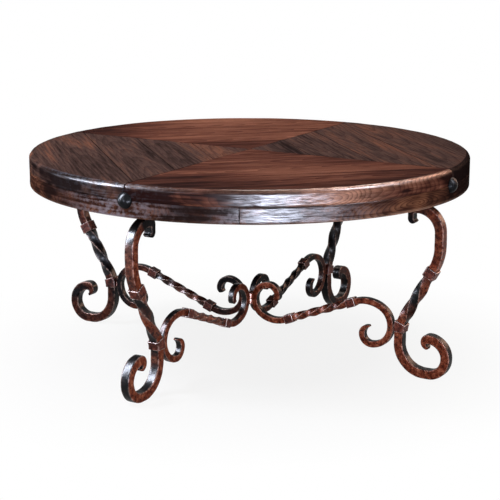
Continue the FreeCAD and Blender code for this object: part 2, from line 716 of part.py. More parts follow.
def make_battens(screws):
    """Two battens under the wedge joints, halved over each other at the middle."""
    width, thickness = size("batten_width"), size("batten_thickness")
    half_level = batten_level + mm("batten_thickness") / 2
    for name, angle, notch_level in (("batten_long", 0.0, batten_level),
                                     ("batten_cross", QUARTER_ANGLE, half_level)):
        place = about_z(angle, x=-batten_reach.number, y=-width.number / 2, z=batten_level)
        bar = box(f"{name}_bar", batten_reach * 2, width, thickness, place)
        notch_place = about_z(angle, x=-width.number / 2, y=-width.number / 2, z=notch_level)
        notch = box(f"{name}_notch", width, width, thickness * 0.5, notch_place)
        nodes.append(cut(name, cut(f"{name}_halved", bar, notch), screws))


def make_batten_screws():
    """A screw on each side of the wedge joints for every plank that crosses a batten."""
    step = mm("plank_width") * math.sqrt(2)
    screws = []
    for side, angle in SIDES:
        for number in range(PLANKS):
            inner = max(number * step, mm("batten_width") / 2)
            outer = min((number + 1) * step, batten_reach.number)
            if outer - inner < 2 * mm("screw_head"):
                continue
            for hand in (-1, 1):
                offset = hand * mm("batten_screw_offset")
                name = f"batten_screw_{side}_{number + 1}_{'a' if hand < 0 else 'b'}"
                screws.append(wood_screw(name, (inner + outer) / 2, offset, batten_level, angle,
                                         size("batten_thickness")))
    group = compound("batten_screws", screws)
    nodes.append(group)
    return group


def make_plate_screws():
    """Four screws through each mounting plate into the rim."""
    along = mm("plate_length") / 2 - mm("plate_screw_inset")
    across = mm("plate_width") / 2 - mm("plate_screw_inset")
    screws = []
    for side, angle in SIDES:
        for number, (x, y) in enumerate(((-1, -1), (1, -1), (1, 1), (-1, 1)), start=1):
            screws.append(wood_screw(f"plate_screw_{side}_{number}", plate_middle + x * along,
                                     y * across, plate_level, angle, size("plate_thickness")))
    group = compound("plate_screws", screws)
    nodes.append(group)
    return group


def make_plates(screws):
    """The plates on the legs' heads, screwed up into the rim."""
    for side, angle in SIDES:
        name = f"mounting_plate_{side}"
        place = about_z(angle, x=plate_inner.number, y=-mm("plate_width") / 2,
                        z=plate_level)
        blank = box(f"{name}_blank", size("plate_length"), size("plate_width"),
                    size("plate_thickness"), place)
        nodes.append(cut(name, blank, screws))


def make_base():
    """Legs, stretchers, their collars and the welds between them."""
    stretchers = []
    welds = []
    for side, angle in SIDES:
        make_leg(side, angle)
        straight_collar(f"leg_collar_upper_{side}", angle, upper_collar_start, lean_heading,
                        size("leg_bar"))
        make_lower_collar(side, angle)
        stretchers.append(make_stretcher(side, angle))
        for place, start in (("outer", outer_collar_start), ("inner", inner_collar_start)):
            straight_collar(f"stretcher_collar_{place}_{side}", angle, start, slope,
                            size("stretcher_bar"))
        welds.append(make_collar_weld(side, angle))
    nodes.append(compound("collar_welds", welds))
    make_hub_weld(stretchers)


def make_top():
    """Planks, rim, battens, plates and what fastens them."""
    studs = [make_stud(side, angle) for side, angle in SIDES]
    batten_screws = make_batten_screws()
    plate_screws = make_plate_screws()
    make_boards(make_top_disc(), compound("board_fastenings", [batten_screws] + studs))
    make_rim(compound("rim_fastenings", [plate_screws] + studs))
    make_battens(batten_screws)
    make_plates(plate_screws)


def write_nodes():
    """Check every object, then write each node's shape to its own file."""
    doc.recompute()
    for item in doc.Objects:
        if "Invalid" in item.State or "Error" in item.State:
            raise RuntimeError(f"{item.Label} is not built: {item.State}")
    for node in nodes:
        if node.Shape.isNull() or not node.Shape.isValid() or not node.Shape.Solids:
            raise RuntimeError(f"{node.Label} has no valid solid")
    os.makedirs("parts", exist_ok=True)
    for node in nodes:
        node.Shape.exportStep(f"parts/{node.Label}.step")
        print(f"{node.Label}: {len(node.Shape.Solids)} solids, {node.Shape.Volume / 1000:.1f} cm3")
    print(f"leg leans {lean:.2f} degrees over {lean_length:.1f} mm; stretcher slopes {slope:.2f}")


make_base()
make_top()
write_nodes()
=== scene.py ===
"""Looks of a round coffee table: a stained plank top on a forged, twisted scroll base.

Every surface is worked out in millimetres in the frame of the CAD model: +Z up, the floor at zero, the legs
on +X (right), +Y (back), -X (left) and -Y (front). Meshes are put into Blender in metres.
"""
from __future__ import annotations

import logging
import math
from dataclasses import dataclass
from enum import Enum
from typing import Sequence

import bpy
import numpy as np
from mathutils import Matrix, Vector

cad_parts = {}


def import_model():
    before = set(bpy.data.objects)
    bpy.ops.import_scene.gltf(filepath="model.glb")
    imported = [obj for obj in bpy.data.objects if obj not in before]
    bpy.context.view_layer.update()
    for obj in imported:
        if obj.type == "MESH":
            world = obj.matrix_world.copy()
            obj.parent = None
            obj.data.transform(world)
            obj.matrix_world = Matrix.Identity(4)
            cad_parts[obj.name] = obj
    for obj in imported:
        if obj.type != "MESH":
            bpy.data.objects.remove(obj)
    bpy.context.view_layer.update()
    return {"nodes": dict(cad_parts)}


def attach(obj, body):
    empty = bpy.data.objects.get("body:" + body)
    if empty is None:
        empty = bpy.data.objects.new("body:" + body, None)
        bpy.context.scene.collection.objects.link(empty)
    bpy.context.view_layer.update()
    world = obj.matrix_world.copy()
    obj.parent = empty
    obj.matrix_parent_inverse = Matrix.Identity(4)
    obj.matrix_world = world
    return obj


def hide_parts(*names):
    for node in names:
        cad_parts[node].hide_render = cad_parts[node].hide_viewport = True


logger = logging.getLogger("coffee_table")

MM = 0.001
BODY = "root"
NOISE_CELLS = 64
# Blender's ring wave runs through one period in this many units of its scaled coordinate.
WAVE_PERIOD = math.pi / 10
# Depth below the top, in millimetres, at which a slanted patch of wear has the turn that it is given.
SLANT_DEPTH = 31.0

# A point in a bar's upright plane, as reach and height in millimetres.
Point = tuple[float, float]
# One side of a round stretch of a bar: its middle, its radius, and its first and last angle in degrees.
Arc = tuple[Point, float, float, float]
# An outline across a board: share of the width, inset from the table's edge, drop below the top, and wear.
Profile = tuple[np.ndarray, np.ndarray, np.ndarray, np.ndarray]


class Side(Enum):
    """The four sides of the table, in order round it."""

    RIGHT = "right"
    BACK = "back"
    LEFT = "left"
    FRONT = "front"

    @property
    def number(self) -> int:
        """Place in the order round the table, from zero."""
        return list(Side).index(self)

    @property
    def angle(self) -> float:
        """Turn of the side's leg about Z, in degrees."""
        return 90.0 * self.number

    @property
    def wedge_angle(self) -> float:
        """Turn of the middle of the wedge that follows the side, in degrees."""
        return self.angle + 45.0

    @property
    def is_warm(self) -> bool:
        """Whether the wedge that follows the side has the warm stain."""
        return self in (Side.FRONT, Side.BACK)

    @property
    def age(self) -> float:
        """Share of dark scale painted on the side's iron as shade: the two far legs stand deeper in shade.
        """
        return {Side.BACK: 0.68, Side.LEFT: 0.66}.get(self, 0.0)

    @property
    def soot(self) -> float:
        """Share of dark on the inner scroll of the side's stretcher: full at the back and left, none at the
        right.
        """
        return {Side.BACK: 1.0, Side.LEFT: 1.0, Side.FRONT: 0.4, Side.RIGHT: 0.0}[self]

    @property
    def wax(self) -> float:
        """Share of wax left on the side's iron: most on the front leg, where it is rubbed up."""
        return {Side.FRONT: 1.0, Side.LEFT: 0.9, Side.BACK: 0.4, Side.RIGHT: 0.5}[self]


class GrainSource(Enum):
    """Where a wood finish takes its grain from: the name of a layer, or of a socket of coordinates."""

    LAYER = "grain"
    OBJECT = "Object"


def linear(hex_colour: str) -> tuple[float, float, float, float]:
    """Turn an sRGB hex colour into linear light.

    Args:
        hex_colour: Six hex digits after a hash.

    Returns:
        Red, green and blue in linear light, and an alpha of one.
    """
    parts = np.array([int(hex_colour[i:i + 2], 16) / 255 for i in (1, 3, 5)])
    light = np.where(parts <= 0.04045, parts / 12.92, ((parts + 0.055) / 1.055) ** 2.4)
    return (*light.tolist(), 1.0)


def soft_noise(x: np.ndarray, y: np.ndarray, seed: int) -> np.ndarray:
    """Smooth random heights from 0 to 1.

    A lattice of random values, read between its points with the easing 3t^2 - 2t^3 in both directions.

    Args:
        x: First coordinate, in lattice cells.
        y: Second coordinate, in lattice cells.
        seed: Seed of the lattice.

    Returns:
        Heights in the shape of x and y.
    """
    lattice = np.random.default_rng(seed).random((NOISE_CELLS, NOISE_CELLS))
    x, y = np.broadcast_arrays(x, y)
    col, row = np.floor(x).astype(int), np.floor(y).astype(int)
    fx, fy = x - col, y - row
    fx, fy = fx * fx * (3 - 2 * fx), fy * fy * (3 - 2 * fy)
    c0, c1 = col % NOISE_CELLS, (col + 1) % NOISE_CELLS
    r0, r1 = row % NOISE_CELLS, (row + 1) % NOISE_CELLS
    low = lattice[r0, c0] * (1 - fx) + lattice[r0, c1] * fx
    high = lattice[r1, c0] * (1 - fx) + lattice[r1, c1] * fx
    return low * (1 - fy) + high * fy


def bell(value: np.ndarray, middle: float, width: float | np.ndarray) -> np.ndarray:
    """A smooth hump of height one about a middle: exp(-x^2) of the distance x in widths."""
    return np.exp(-((value - middle) / width) ** 2)


def climb(value: np.ndarray, start: float, length: float) -> np.ndarray:
    """A straight climb from zero at a start to one after a length, which may run backwards."""
    return np.clip((value - start) / length, 0, 1)


@dataclass
class Surface:
    """A closed mesh in millimetres.

    It has points, four-sided faces, end faces, and layers of numbers on the points.
    """

    points: np.ndarray
    quads: np.ndarray
    caps: list[np.ndarray]
    layers: dict[str, np.ndarray]

    def turned(self, degrees: float) -> "Surface":
        """The same surface turned about the table's axis.

        Args:
            degrees: Turn, against the clock from above.

        Returns:
            A new surface with the same faces and layers.
        """
        cosine, sine = math.cos(math.radians(degrees)), math.sin(math.radians(degrees))
        spin = np.array([[cosine, -sine, 0], [sine, cosine, 0], [0, 0, 1]])
        return Surface(self.points @ spin.T, self.quads, self.caps, self.layers)

    def outward(self) -> "Surface":
        """Turn the faces outwards.

        The volume is the sum, over all triangles of a fan in each face, of a . (b x c) / 6. Where that is
        below zero, every face is read the other way round.

        Returns:
            This surface.
        """
        fans = [np.stack([np.full(len(cap) - 2, cap[0]), cap[1:-1], cap[2:]], 1) for cap in self.caps]
        corners = np.concatenate([self.quads[:, [0, 1, 2]], self.quads[:, [0, 2, 3]], *fans])
        a, b, c = self.points[corners.T]
        if np.einsum("ij,ij->", a, np.cross(b, c)) < 0:
            self.quads = self.quads[:, ::-1]
            self.caps = [cap[::-1] for cap in self.caps]
        return self


def joined(surfaces: Sequence[Surface]) -> Surface:
    """Several closed surfaces as one mesh.

    Args:
        surfaces: The surfaces, all with the same layers.

    Returns:
        One surface that holds them all.
    """
    starts = np.cumsum([0] + [len(s.points) for s in surfaces[:-1]])
    quads = np.concatenate([s.quads + start for start, s in zip(starts, surfaces)])
    caps = [cap + start for start, s in zip(starts, surfaces) for cap in s.caps]
    layers = {key: np.concatenate([s.layers[key] for s in surfaces]) for key in surfaces[0].layers}
    return Surface(np.concatenate([s.points for s in surfaces]), quads, caps, layers)


def grid_faces(rows: int, cols: int, close_rows: bool = False) -> np.ndarray:
    """Quads of a grid whose points are stored row by row, and whose last column joins the first.

    Args:
        rows: Points in the first direction.
        cols: Points in the second direction, round the grid.
        close_rows: Whether the last row joins the first too.

    Returns:
        Four point numbers for each quad.
    """
    i = np.arange(rows if close_rows else rows - 1)[:, None]
    j = np.arange(cols)[None, :]
    i1, j1 = (i + 1) % rows, (j + 1) % cols
    quads = np.stack(np.broadcast_arrays(i * cols + j, i * cols + j1, i1 * cols + j1, i1 * cols + j), -1)
    return quads.reshape(-1, 4)


def tube(grid: np.ndarray, layers: dict[str, np.ndarray], ring: bool = False) -> Surface:
    """A closed surface from rings of points: a tube with a flat face at each end, or a ring of tubes.

    Args:
        grid: Points, first by ring and then round the ring.
        layers: Numbers for each point, in the same order.
        ring: Whether the last ring of points joins the first, in place of end faces.

    Returns:
        The closed surface.
    """
    rings, around = grid.shape[:2]
    caps = [] if ring else [np.arange(around)[::-1], np.arange((rings - 1) * around, rings * around)]
    flat = {}
    for key, value in layers.items():
        spread = np.broadcast_to(value, (rings, around) + value.shape[2:])
        flat[key] = spread.reshape(rings * around, -1).squeeze()
    return Surface(grid.reshape(-1, 3), grid_faces(rings, around, ring), caps, flat).outward()


def add_piece(name: str, surface: Surface, finish: bpy.types.Material,
              stands_for: Sequence[str]) -> None:
    """Put a surface into Blender as a piece of the table.

    Args:
        name: Name of the piece.
        surface: Its mesh, in millimetres.
        finish: Its material.
        stands_for: CAD nodes that the piece takes the place of.
    """
    mesh = bpy.data.meshes.new(name)
    faces = surface.quads.tolist() + [cap.tolist() for cap in surface.caps]
    mesh.from_pydata((surface.points * MM).tolist(), [], faces)
    for key, values in surface.layers.items():
        kind, entry = ("FLOAT_VECTOR", "vector") if values.ndim == 2 else ("FLOAT", "value")
        layer = mesh.attributes.new(key, kind, "POINT")
        layer.data.foreach_set(entry, values.astype(np.float32).ravel())
    mesh.polygons.foreach_set("use_smooth", np.ones(len(mesh.polygons), bool))
    mesh.materials.append(finish)
    mesh.update()
    piece = bpy.data.objects.new(name, mesh)
    bpy.context.scene.collection.objects.link(piece)
    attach(piece, BODY)
    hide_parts(*stands_for)
    logger.info("%s: %d points, stands for %s", name, len(surface.points), ", ".join(stands_for))


def add_node(tree: bpy.types.NodeTree, kind: str, inputs: dict[str | int, object] | Sequence = (),
             ramp: Sequence[tuple[float, str]] = (), **settings: object) -> bpy.types.Node:
    """Add a shader node with its settings and links.

    Args:
        tree: The material's or world's node tree.
        kind: Blender's name of the node type.
        inputs: Values or sockets for the node's inputs, by name or number, or in order from the first.
        ramp: Stops of a colour ramp, as place and hex colour.
        **settings: Attributes of the node.

    Returns:
        The new node.
    """
    node = tree.nodes.new(kind)
    for key, value in settings.items():
        setattr(node, key, value)
    named = inputs if isinstance(inputs, dict) else dict(enumerate(inputs))
    for key, value in named.items():
        if isinstance(value, bpy.types.NodeSocket):
            tree.links.new(value, node.inputs[key])
        else:
            node.inputs[key].default_value = value
    if ramp:
        stops = node.color_ramp.elements
        while len(stops) < len(ramp):
            stops.new(1.0)
        for stop, (place, colour) in zip(stops, ramp):
            stop.position = place
            stop.color = linear(colour)
    return node


def new_material(name: str) -> tuple[bpy.types.Material, bpy.types.NodeTree, bpy.types.Node]:
    """Make an empty node material with its shader.

    Args:
        name: Name of the material.

    Returns:
        The material, its node tree and its principled shader.
    """
    material = bpy.data.materials.new(name)
    material.use_nodes = True
    tree = material.node_tree
    shader = next(node for node in tree.nodes if node.type == "BSDF_PRINCIPLED")
    return material, tree, shader


@dataclass(frozen=True)
class WoodFinish:
    """Planed hardwood, stained and waxed by hand.

    The eye sees long streaks along the grain, growth rings that open into arches, dark open pores, pale
    wood where hands and time have rubbed the stain away, which is partly a painted highlight, and grey
    scuffed wax, which is partly a painted sheen. Lengths are in millimetres.
    """

    name: str
    dark: str
    middle: str
    light: str
    pore: str
    worn: str
    scuff_and_sheen: str
    source: GrainSource = GrainSource.LAYER
    # Sizes along and across the grain, from one growth ring to the next, and of the patches of wear,
    # of painted sheen and of painted highlight.
    streak: tuple[float, float] = (190.0, 9.0)
    figure: tuple[float, float] = (420.0, 55.0)
    pore_size: tuple[float, float] = (30.0, 2.6)
    ring: float = 6.0
    patch: float = 12.0
    # Shares of the parts of the pattern in the colour.
    figure_share: float = 0.55
    streak_share: float = 0.62
    ring_share: float = 0.55
    pore_share: float = 0.55
    # Where each part of the pattern starts and is full on the scale of its own noise.
    stops: tuple[float, float, float] = (0.36, 0.56, 0.8)
    ring_limits: tuple[float, float] = (0.45, 1.0)
    pore_limits: tuple[float, float] = (0.58, 0.72)
    scuff_and_sheen_limits: tuple[float, float] = (0.98, 1.24)
    worn_limits: tuple[float, float] = (0.6, 1.15)
    streak_limits: tuple[float, float] = (0.3, 0.7)
    film_limits: tuple[float, float] = (0.42, 0.64)
    roughness: tuple[float, float] = (0.5, 0.7)
    wax_roughness: float = 0.32
    pore_film: float = 0.2
    pore_depth: float = 0.7
    relief: float = 0.5
    relief_height: float = 0.7

    def build(self) -> bpy.types.Material:
        """Make the material.

        Streaks, figure and pores are noise drawn out along the grain, and growth rings are circles about
        the pith of the log. Layers of the mesh say where the wood is paler or darker, partly as painted
        shade, scuffed, partly as a painted sheen, rubbed pale, partly as a painted highlight, or polished.

        Returns:
            The wood material.
        """
        material, tree, shader = new_material(self.name)
        if self.source is GrainSource.LAYER:
            place, log_place = [add_node(tree, "ShaderNodeAttribute", attribute_name=key).outputs["Vector"]
                                for key in (self.source.value, "log")]
        else:
            place = log_place = add_node(tree, "ShaderNodeTexCoord").outputs[self.source.value]
        drawn = {}
        # Pores are drawn a few times wider than real ones, so that they show at the size of the render.
        for key, (along, across), detail, bend in (("streaks", self.streak, 6.0, 0.5),
                                                   ("figure", self.figure, 3.0, 0.8),
                                                   ("pores", self.pore_size, 2.0, 0.0)):
            stretch = (1 / (along * MM), 1 / (across * MM), 1 / (across * MM))
            mapped = add_node(tree, "ShaderNodeMapping", {"Vector": place, "Scale": stretch})
            drawn[key] = add_node(tree, "ShaderNodeTexNoise",
                                  {"Vector": mapped.outputs[0], "Scale": 1.0, "Detail": detail,
                                   "Distortion": bend}).outputs["Fac"]
        # One growth ring to each period of the wave, bent a little by its own noise.
        rings = add_node(tree, "ShaderNodeTexWave",
                         {"Vector": log_place, "Scale": WAVE_PERIOD / (self.ring * MM), "Distortion": 2.2,
                          "Detail": 3.0, "Detail Scale": 0.4},
                         wave_type="RINGS", rings_direction="X", wave_profile="SAW").outputs["Fac"]
        cloud = add_node(tree, "ShaderNodeTexNoise", {"Vector": place, "Scale": 1 / (self.patch * MM),
                                                      "Detail": 6.0, "Roughness": 0.65}).outputs["Fac"]
        broken = add_node(tree, "ShaderNodeMath", (cloud, drawn["streaks"])).outputs[0]
        layers = {key: add_node(tree, "ShaderNodeAttribute", attribute_name=key).outputs["Fac"]
                  for key in ("tone", "scuff_and_sheen", "worn", "polish")}

        blend = layers["tone"]
        for key, share in (("figure", self.figure_share), ("streaks", self.streak_share)):
            blend = add_node(tree, "ShaderNodeMath", (drawn[key], share, blend),
                             operation="MULTIPLY_ADD").outputs[0]
        stops = tuple(zip(self.stops, (self.dark, self.middle, self.light)))
        colour = add_node(tree, "ShaderNodeValToRGB", (blend,), ramp=stops).outputs["Color"]
        ring_mask = add_node(tree, "ShaderNodeMapRange", (rings, *self.ring_limits, 0.0, self.ring_share))
        pore_mask = add_node(tree, "ShaderNodeMapRange",
                             (drawn["pores"], *self.pore_limits, 0.0, self.pore_share))
        masks = {}
        for key, limits in (("scuff_and_sheen", self.scuff_and_sheen_limits), ("worn", self.worn_limits)):
            patches = add_node(tree, "ShaderNodeMapRange", (broken, *limits))
            masks[key] = add_node(tree, "ShaderNodeMath", (patches.outputs[0], layers[key]),
                                  operation="MULTIPLY").outputs[0]
        # Rings and pores show through rubbed wood and its painted highlight, and scuffed wax,
        # partly a painted sheen, lies over them.
        for share, over in ((masks["worn"], self.worn), (ring_mask.outputs[0], self.dark),
                            (pore_mask.outputs[0], self.pore), (masks["scuff_and_sheen"], self.scuff_and_sheen)):
            colour = add_node(tree, "ShaderNodeMix", {0: share, 6: colour, 7: linear(over)},
                              data_type="RGBA").outputs[2]
        tree.links.new(colour, shader.inputs["Base Color"])

        rough = add_node(tree, "ShaderNodeMapRange",
                         (drawn["streaks"], *self.streak_limits, *self.roughness))
        tree.links.new(rough.outputs[0], shader.inputs["Roughness"])
        # The bare wood has no gloss of its own. Wax lies on it where the mesh says it is polished.
        shader.inputs["Specular IOR Level"].default_value = 0.0
        shader.inputs["Coat Roughness"].default_value = self.wax_roughness
        film = add_node(tree, "ShaderNodeMapRange",
                        (drawn["pores"], *self.film_limits, 1.0, self.pore_film))
        film = add_node(tree, "ShaderNodeMath", (film.outputs[0], layers["polish"]), operation="MULTIPLY")
        tree.links.new(film.outputs[0], shader.inputs["Coat Weight"])
        height = add_node(tree, "ShaderNodeMath", (drawn["pores"], -self.pore_depth, drawn["streaks"]),
                          operation="MULTIPLY_ADD")
        bump = add_node(tree, "ShaderNodeBump", {"Strength": self.relief, "Height": height.outputs[0],
                                                 "Distance": self.relief_height * MM})
        for socket in ("Normal", "Coat Normal"):
            tree.links.new(bump.outputs[0], shader.inputs[socket])
        return material


@dataclass(frozen=True)
class IronFinish:
    """Hand-forged mild steel with a rust patina under wax.

    The eye sees mottled red-brown with dark scale pits, blue-black fire scale on the narrow faces, which is
    partly a painted dark reflection, and pale metal where the arrises are rubbed. Lengths are in
    millimetres.
    """

    name: str
    rust: tuple[str, str, str]
    scale: tuple[str, str]
    spot: str
    arris: str
    mottle: float = 11.0
    pit: float = 6.0
    patch: float = 70.0
    roughness: tuple[float, float] = (0.34, 0.55)
    metallic: float = 0.1
    gloss: float = 0.02
    wax_roughness: float = 0.25
    relief: float = 0.4
    relief_height: float = 0.8
    pit_depth: float = 0.6
    pit_share: float = 0.85
    arris_share: float = 0.58
    # Where each part of the pattern starts and is full on the scale of its own noise.
    rust_stops: tuple[float, float, float] = (0.34, 0.5, 0.68)
    scale_stops: tuple[float, float] = (0.42, 0.75)
    scale_limits: tuple[float, float] = (0.75, 1.3)
    pit_limits: tuple[float, float] = (0.58, 0.66)
    arris_limits: tuple[float, float] = (0.4, 0.58)
    mottle_limits: tuple[float, float] = (0.35, 0.65)

    def build(self) -> bpy.types.Material:
        """Make the material.

        The mottle, the pits and the patches of scale are noise of three sizes. Layers of the mesh say where
        the iron is dark, rubbed or waxed.

        Returns:
            The iron material.
        """
        material, tree, shader = new_material(self.name)
        place = add_node(tree, "ShaderNodeTexCoord").outputs["Object"]
        # Pits are drawn about twice as wide as real ones, so that they show at the size of the render.
        mottle, pits, patch = [
            add_node(tree, "ShaderNodeTexNoise", {"Vector": place, "Scale": 1 / (size * MM),
                                                  "Detail": detail, "Roughness": rough}).outputs["Fac"]
            for size, detail, rough in ((self.mottle, 6.0, 0.62), (self.pit, 2.0, 0.5),
                                        (self.patch, 3.0, 0.5))]
        layers = {key: add_node(tree, "ShaderNodeAttribute", attribute_name=key).outputs["Fac"]
                  for key in ("dark", "arris", "burnish")}
        rust, scale = [
            add_node(tree, "ShaderNodeValToRGB", (mottle,), ramp=tuple(zip(places, hues))).outputs["Color"]
            for places, hues in ((self.rust_stops, self.rust), (self.scale_stops, self.scale))]
        patchy = add_node(tree, "ShaderNodeMath", (patch, layers["dark"])).outputs[0]
        dark = add_node(tree, "ShaderNodeMapRange", (patchy, *self.scale_limits))
        pitted = add_node(tree, "ShaderNodeMapRange", (pits, *self.pit_limits, 0.0, self.pit_share))
        rubbed = add_node(tree, "ShaderNodeMapRange", (mottle, *self.arris_limits, 0.0, self.arris_share))
        rubbed = add_node(tree, "ShaderNodeMath", (rubbed.outputs[0], layers["arris"]),
                          operation="MULTIPLY")
        colour = rust
        for share, over in ((dark, scale), (pitted, linear(self.spot)), (rubbed, linear(self.arris))):
            colour = add_node(tree, "ShaderNodeMix", {0: share.outputs[0], 6: colour, 7: over},
                              data_type="RGBA").outputs[2]
        tree.links.new(colour, shader.inputs["Base Color"])
        shader.inputs["Metallic"].default_value = self.metallic
        shader.inputs["Specular IOR Level"].default_value = self.gloss
        shader.inputs["Coat Roughness"].default_value = self.wax_roughness
        tree.links.new(layers["burnish"], shader.inputs["Coat Weight"])
        rough = add_node(tree, "ShaderNodeMapRange", (mottle, *self.mottle_limits, *self.roughness))
        tree.links.new(rough.outputs[0], shader.inputs["Roughness"])
        height = add_node(tree, "ShaderNodeMath", (pits, -self.pit_depth, mottle), operation="MULTIPLY_ADD")
        bump = add_node(tree, "ShaderNodeBump", {"Strength": self.relief, "Height": height.outputs[0],
                                                 "Distance": self.relief_height * MM})
        for socket in ("Normal", "Coat Normal"):
            tree.links.new(bump.outputs[0], shader.inputs[socket])
        return material


@dataclass(frozen=True)
class Frames:
    """Stations along a bar: middle and normal in its upright plane, half thickness, turn and run."""

    centre: np.ndarray
    normal: np.ndarray
    half: np.ndarray
    turn: np.ndarray
    run: np.ndarray

    def at(self, runs: np.ndarray) -> tuple[np.ndarray, np.ndarray]:
        """Middle and normal at other runs, read between the stations.

        Args:
            runs: Runs along the bar, in millimetres.

        Returns:
            Middles and unit normals, with two numbers for each run.
        """
        centre = np.stack([np.interp(runs, self.run, self.centre[:, k]) for k in (0, 1)], -1)
        normal = np.stack([np.interp(runs, self.run, self.normal[:, k]) for k in (0, 1)], -1)
        return centre, normal / np.linalg.norm(normal, axis=-1, keepdims=True)

    def twisting(self) -> np.ndarray:
        """One at the stations where the bar is twisted, and zero elsewhere."""
        return (np.abs(np.gradient(self.turn)) > 1e-4).astype(float)


class Route:
    """The way of a bar in its upright plane, as reach and height, drawn stretch by stretch.

    Each stretch gives points on the bar's left and right sides as it is walked, and its turn.
    """

    def __init__(self, half: float, step: float) -> None:
        """Start an empty route.

        Args:
            half: Half thickness of the bar.
            step: Distance between stations.
        """
        self.half = half
        self.step = step
        self.left: list[np.ndarray] = []
        self.right: list[np.ndarray] = []
        self.turn: list[np.ndarray] = []

    def arc(self, centre: Point, radius: float, first: float, last: float, turn: float = 0.0) -> None:
        """A round stretch: on both sides, the middle plus a radius times (cos a, sin a)."""
        out = self.half if last < first else -self.half
        self.taper((centre, radius + out, first, last), (centre, radius - out, first, last), turn)

    def taper(self, left: Arc, right: Arc, turn: float = 0.0) -> None:
        """A round stretch whose sides are two arcs: each is a middle plus a radius times (cos a, sin a).

        Args:
            left: Middle, radius, first and last angle in degrees of the left side.
            right: The same for the right side.
            turn: Turn of the bar about itself, in degrees.
        """
        span = max(abs(math.radians(last - first)) * radius for _, radius, first, last in (left, right))
        share = np.linspace(0, 1, max(6, math.ceil(span / self.step) + 1))[:, None]
        sides = []
        for centre, radius, first, last in (left, right):
            angle = np.radians(first + (last - first) * share)
            sides.append(np.array(centre) + radius * np.concatenate([np.cos(angle), np.sin(angle)], 1))
        self._add(sides[0], sides[1], np.full(len(share), turn))

    def line(self, start: Point, heading: float, length: float,
             turns: tuple[float, float] = (0.0, 0.0)) -> None:
        """A straight stretch, turned evenly from one angle to another.

        Args:
            start: Where its middle starts.
            heading: Direction, in degrees above outwards.
            length: Length.
            turns: Turn of the bar about itself at its start and end, in degrees.
        """
        share = np.linspace(0, 1, max(2, math.ceil(length / self.step) + 1))
        slope = math.radians(heading)
        middle = np.array(start) + length * share[:, None] * [math.cos(slope), math.sin(slope)]
        across = self.half * np.array([-math.sin(slope), math.cos(slope)])
        self._add(middle + across, middle - across, turns[0] + (turns[1] - turns[0]) * share)

    def sides(self, left: tuple[Point, Point], right: tuple[Point, Point], turn: float = 0.0) -> None:
        """A straight stretch between two points on each side.

        Args:
            left: First and last point of the left side.
            right: First and last point of the right side.
            turn: Turn of the bar about itself, in degrees.
        """
        share = np.linspace(0, 1, max(2, math.ceil(math.dist(*left) / self.step) + 1))[:, None]
        ends = [np.array(points, float) for points in (left, right)]
        sides = [points[0] + share * (points[1] - points[0]) for points in ends]
        self._add(sides[0], sides[1], np.full(len(share), turn))

    def _add(self, left: np.ndarray, right: np.ndarray, turn: np.ndarray) -> None:
        """Add stations, without the first where the route is there already.

        Args:
            left: Points on the left side.
            right: Points on the right side.
            turn: Turns of the bar about itself, in degrees.
        """
        skip = 1 if self.left else 0
        self.left.append(left[skip:])
        self.right.append(right[skip:])
        self.turn.append(np.radians(turn[skip:]))

    def length(self) -> float:
        """Run of the bar's middle so far."""
        middle = (np.concatenate(self.left) + np.concatenate(self.right)) / 2
        return float(np.linalg.norm(np.diff(middle, axis=0), axis=1).sum())

    def frames(self) -> Frames:
        """All stations of the route.

        Returns:
            Middles, left-hand normals, half thicknesses, turns and runs.
        """
        left, right = np.concatenate(self.left), np.concatenate(self.right)
        across = left - right
        thick = np.linalg.norm(across, axis=1)
        middle = (left + right) / 2
        run = np.concatenate([[0], np.cumsum(np.linalg.norm(np.diff(middle, axis=0), axis=1))])
        return Frames(middle, across / thick[:, None], thick / 2, np.concatenate(self.turn), run)


@dataclass(frozen=True)
class SquareSection:
    """A square of half side one with rounded arrises: points, outward directions and masks round it."""

    corner: float
    per_side: int = 7
    per_corner: int = 4

    def outline(self) -> dict[str, np.ndarray]:
        """Points of the outline.

        One quarter is an arc of the corner radius about (1 - c, 1 - c) and then the flat to the next
        corner; the other three are that quarter turned by right angles.

        Returns:
            Arrays p, q (place), op, oq (outward direction), arris and dark (masks from 0 to 1).
        """
        inner = 1 - self.corner
        angle = np.radians(np.linspace(0, 90, self.per_corner))
        bend = np.stack([inner + self.corner * np.cos(angle), inner + self.corner * np.sin(angle)], 1)
        flat = np.stack([np.linspace(inner, -inner, self.per_side + 2)[1:-1], np.ones(self.per_side)], 1)
        quarter = np.concatenate([bend, flat])
        out = np.concatenate([np.stack([np.cos(angle), np.sin(angle)], 1),
                              np.tile([0.0, 1.0], (self.per_side, 1))])
        # An arris is rubbed most at the middle of its round.
        rub = np.zeros(len(quarter))
        rub[:self.per_corner] = 1 - 0.6 * np.abs(np.linspace(-1, 1, self.per_corner))
        place, facing = [], []
        for _ in range(4):
            place.append(quarter)
            facing.append(out)
            quarter = np.stack([-quarter[:, 1], quarter[:, 0]], 1)
            out = np.stack([-out[:, 1], out[:, 0]], 1)
        place, facing = np.concatenate(place), np.concatenate(facing)
        # The radial faces get the dark mask: fire scale, and a painted dark reflection.
        return {"p": place[:, 0], "q": place[:, 1], "op": facing[:, 0], "oq": facing[:, 1],
                "arris": np.tile(rub, 4), "dark": np.abs(facing[:, 0]) ** 2}


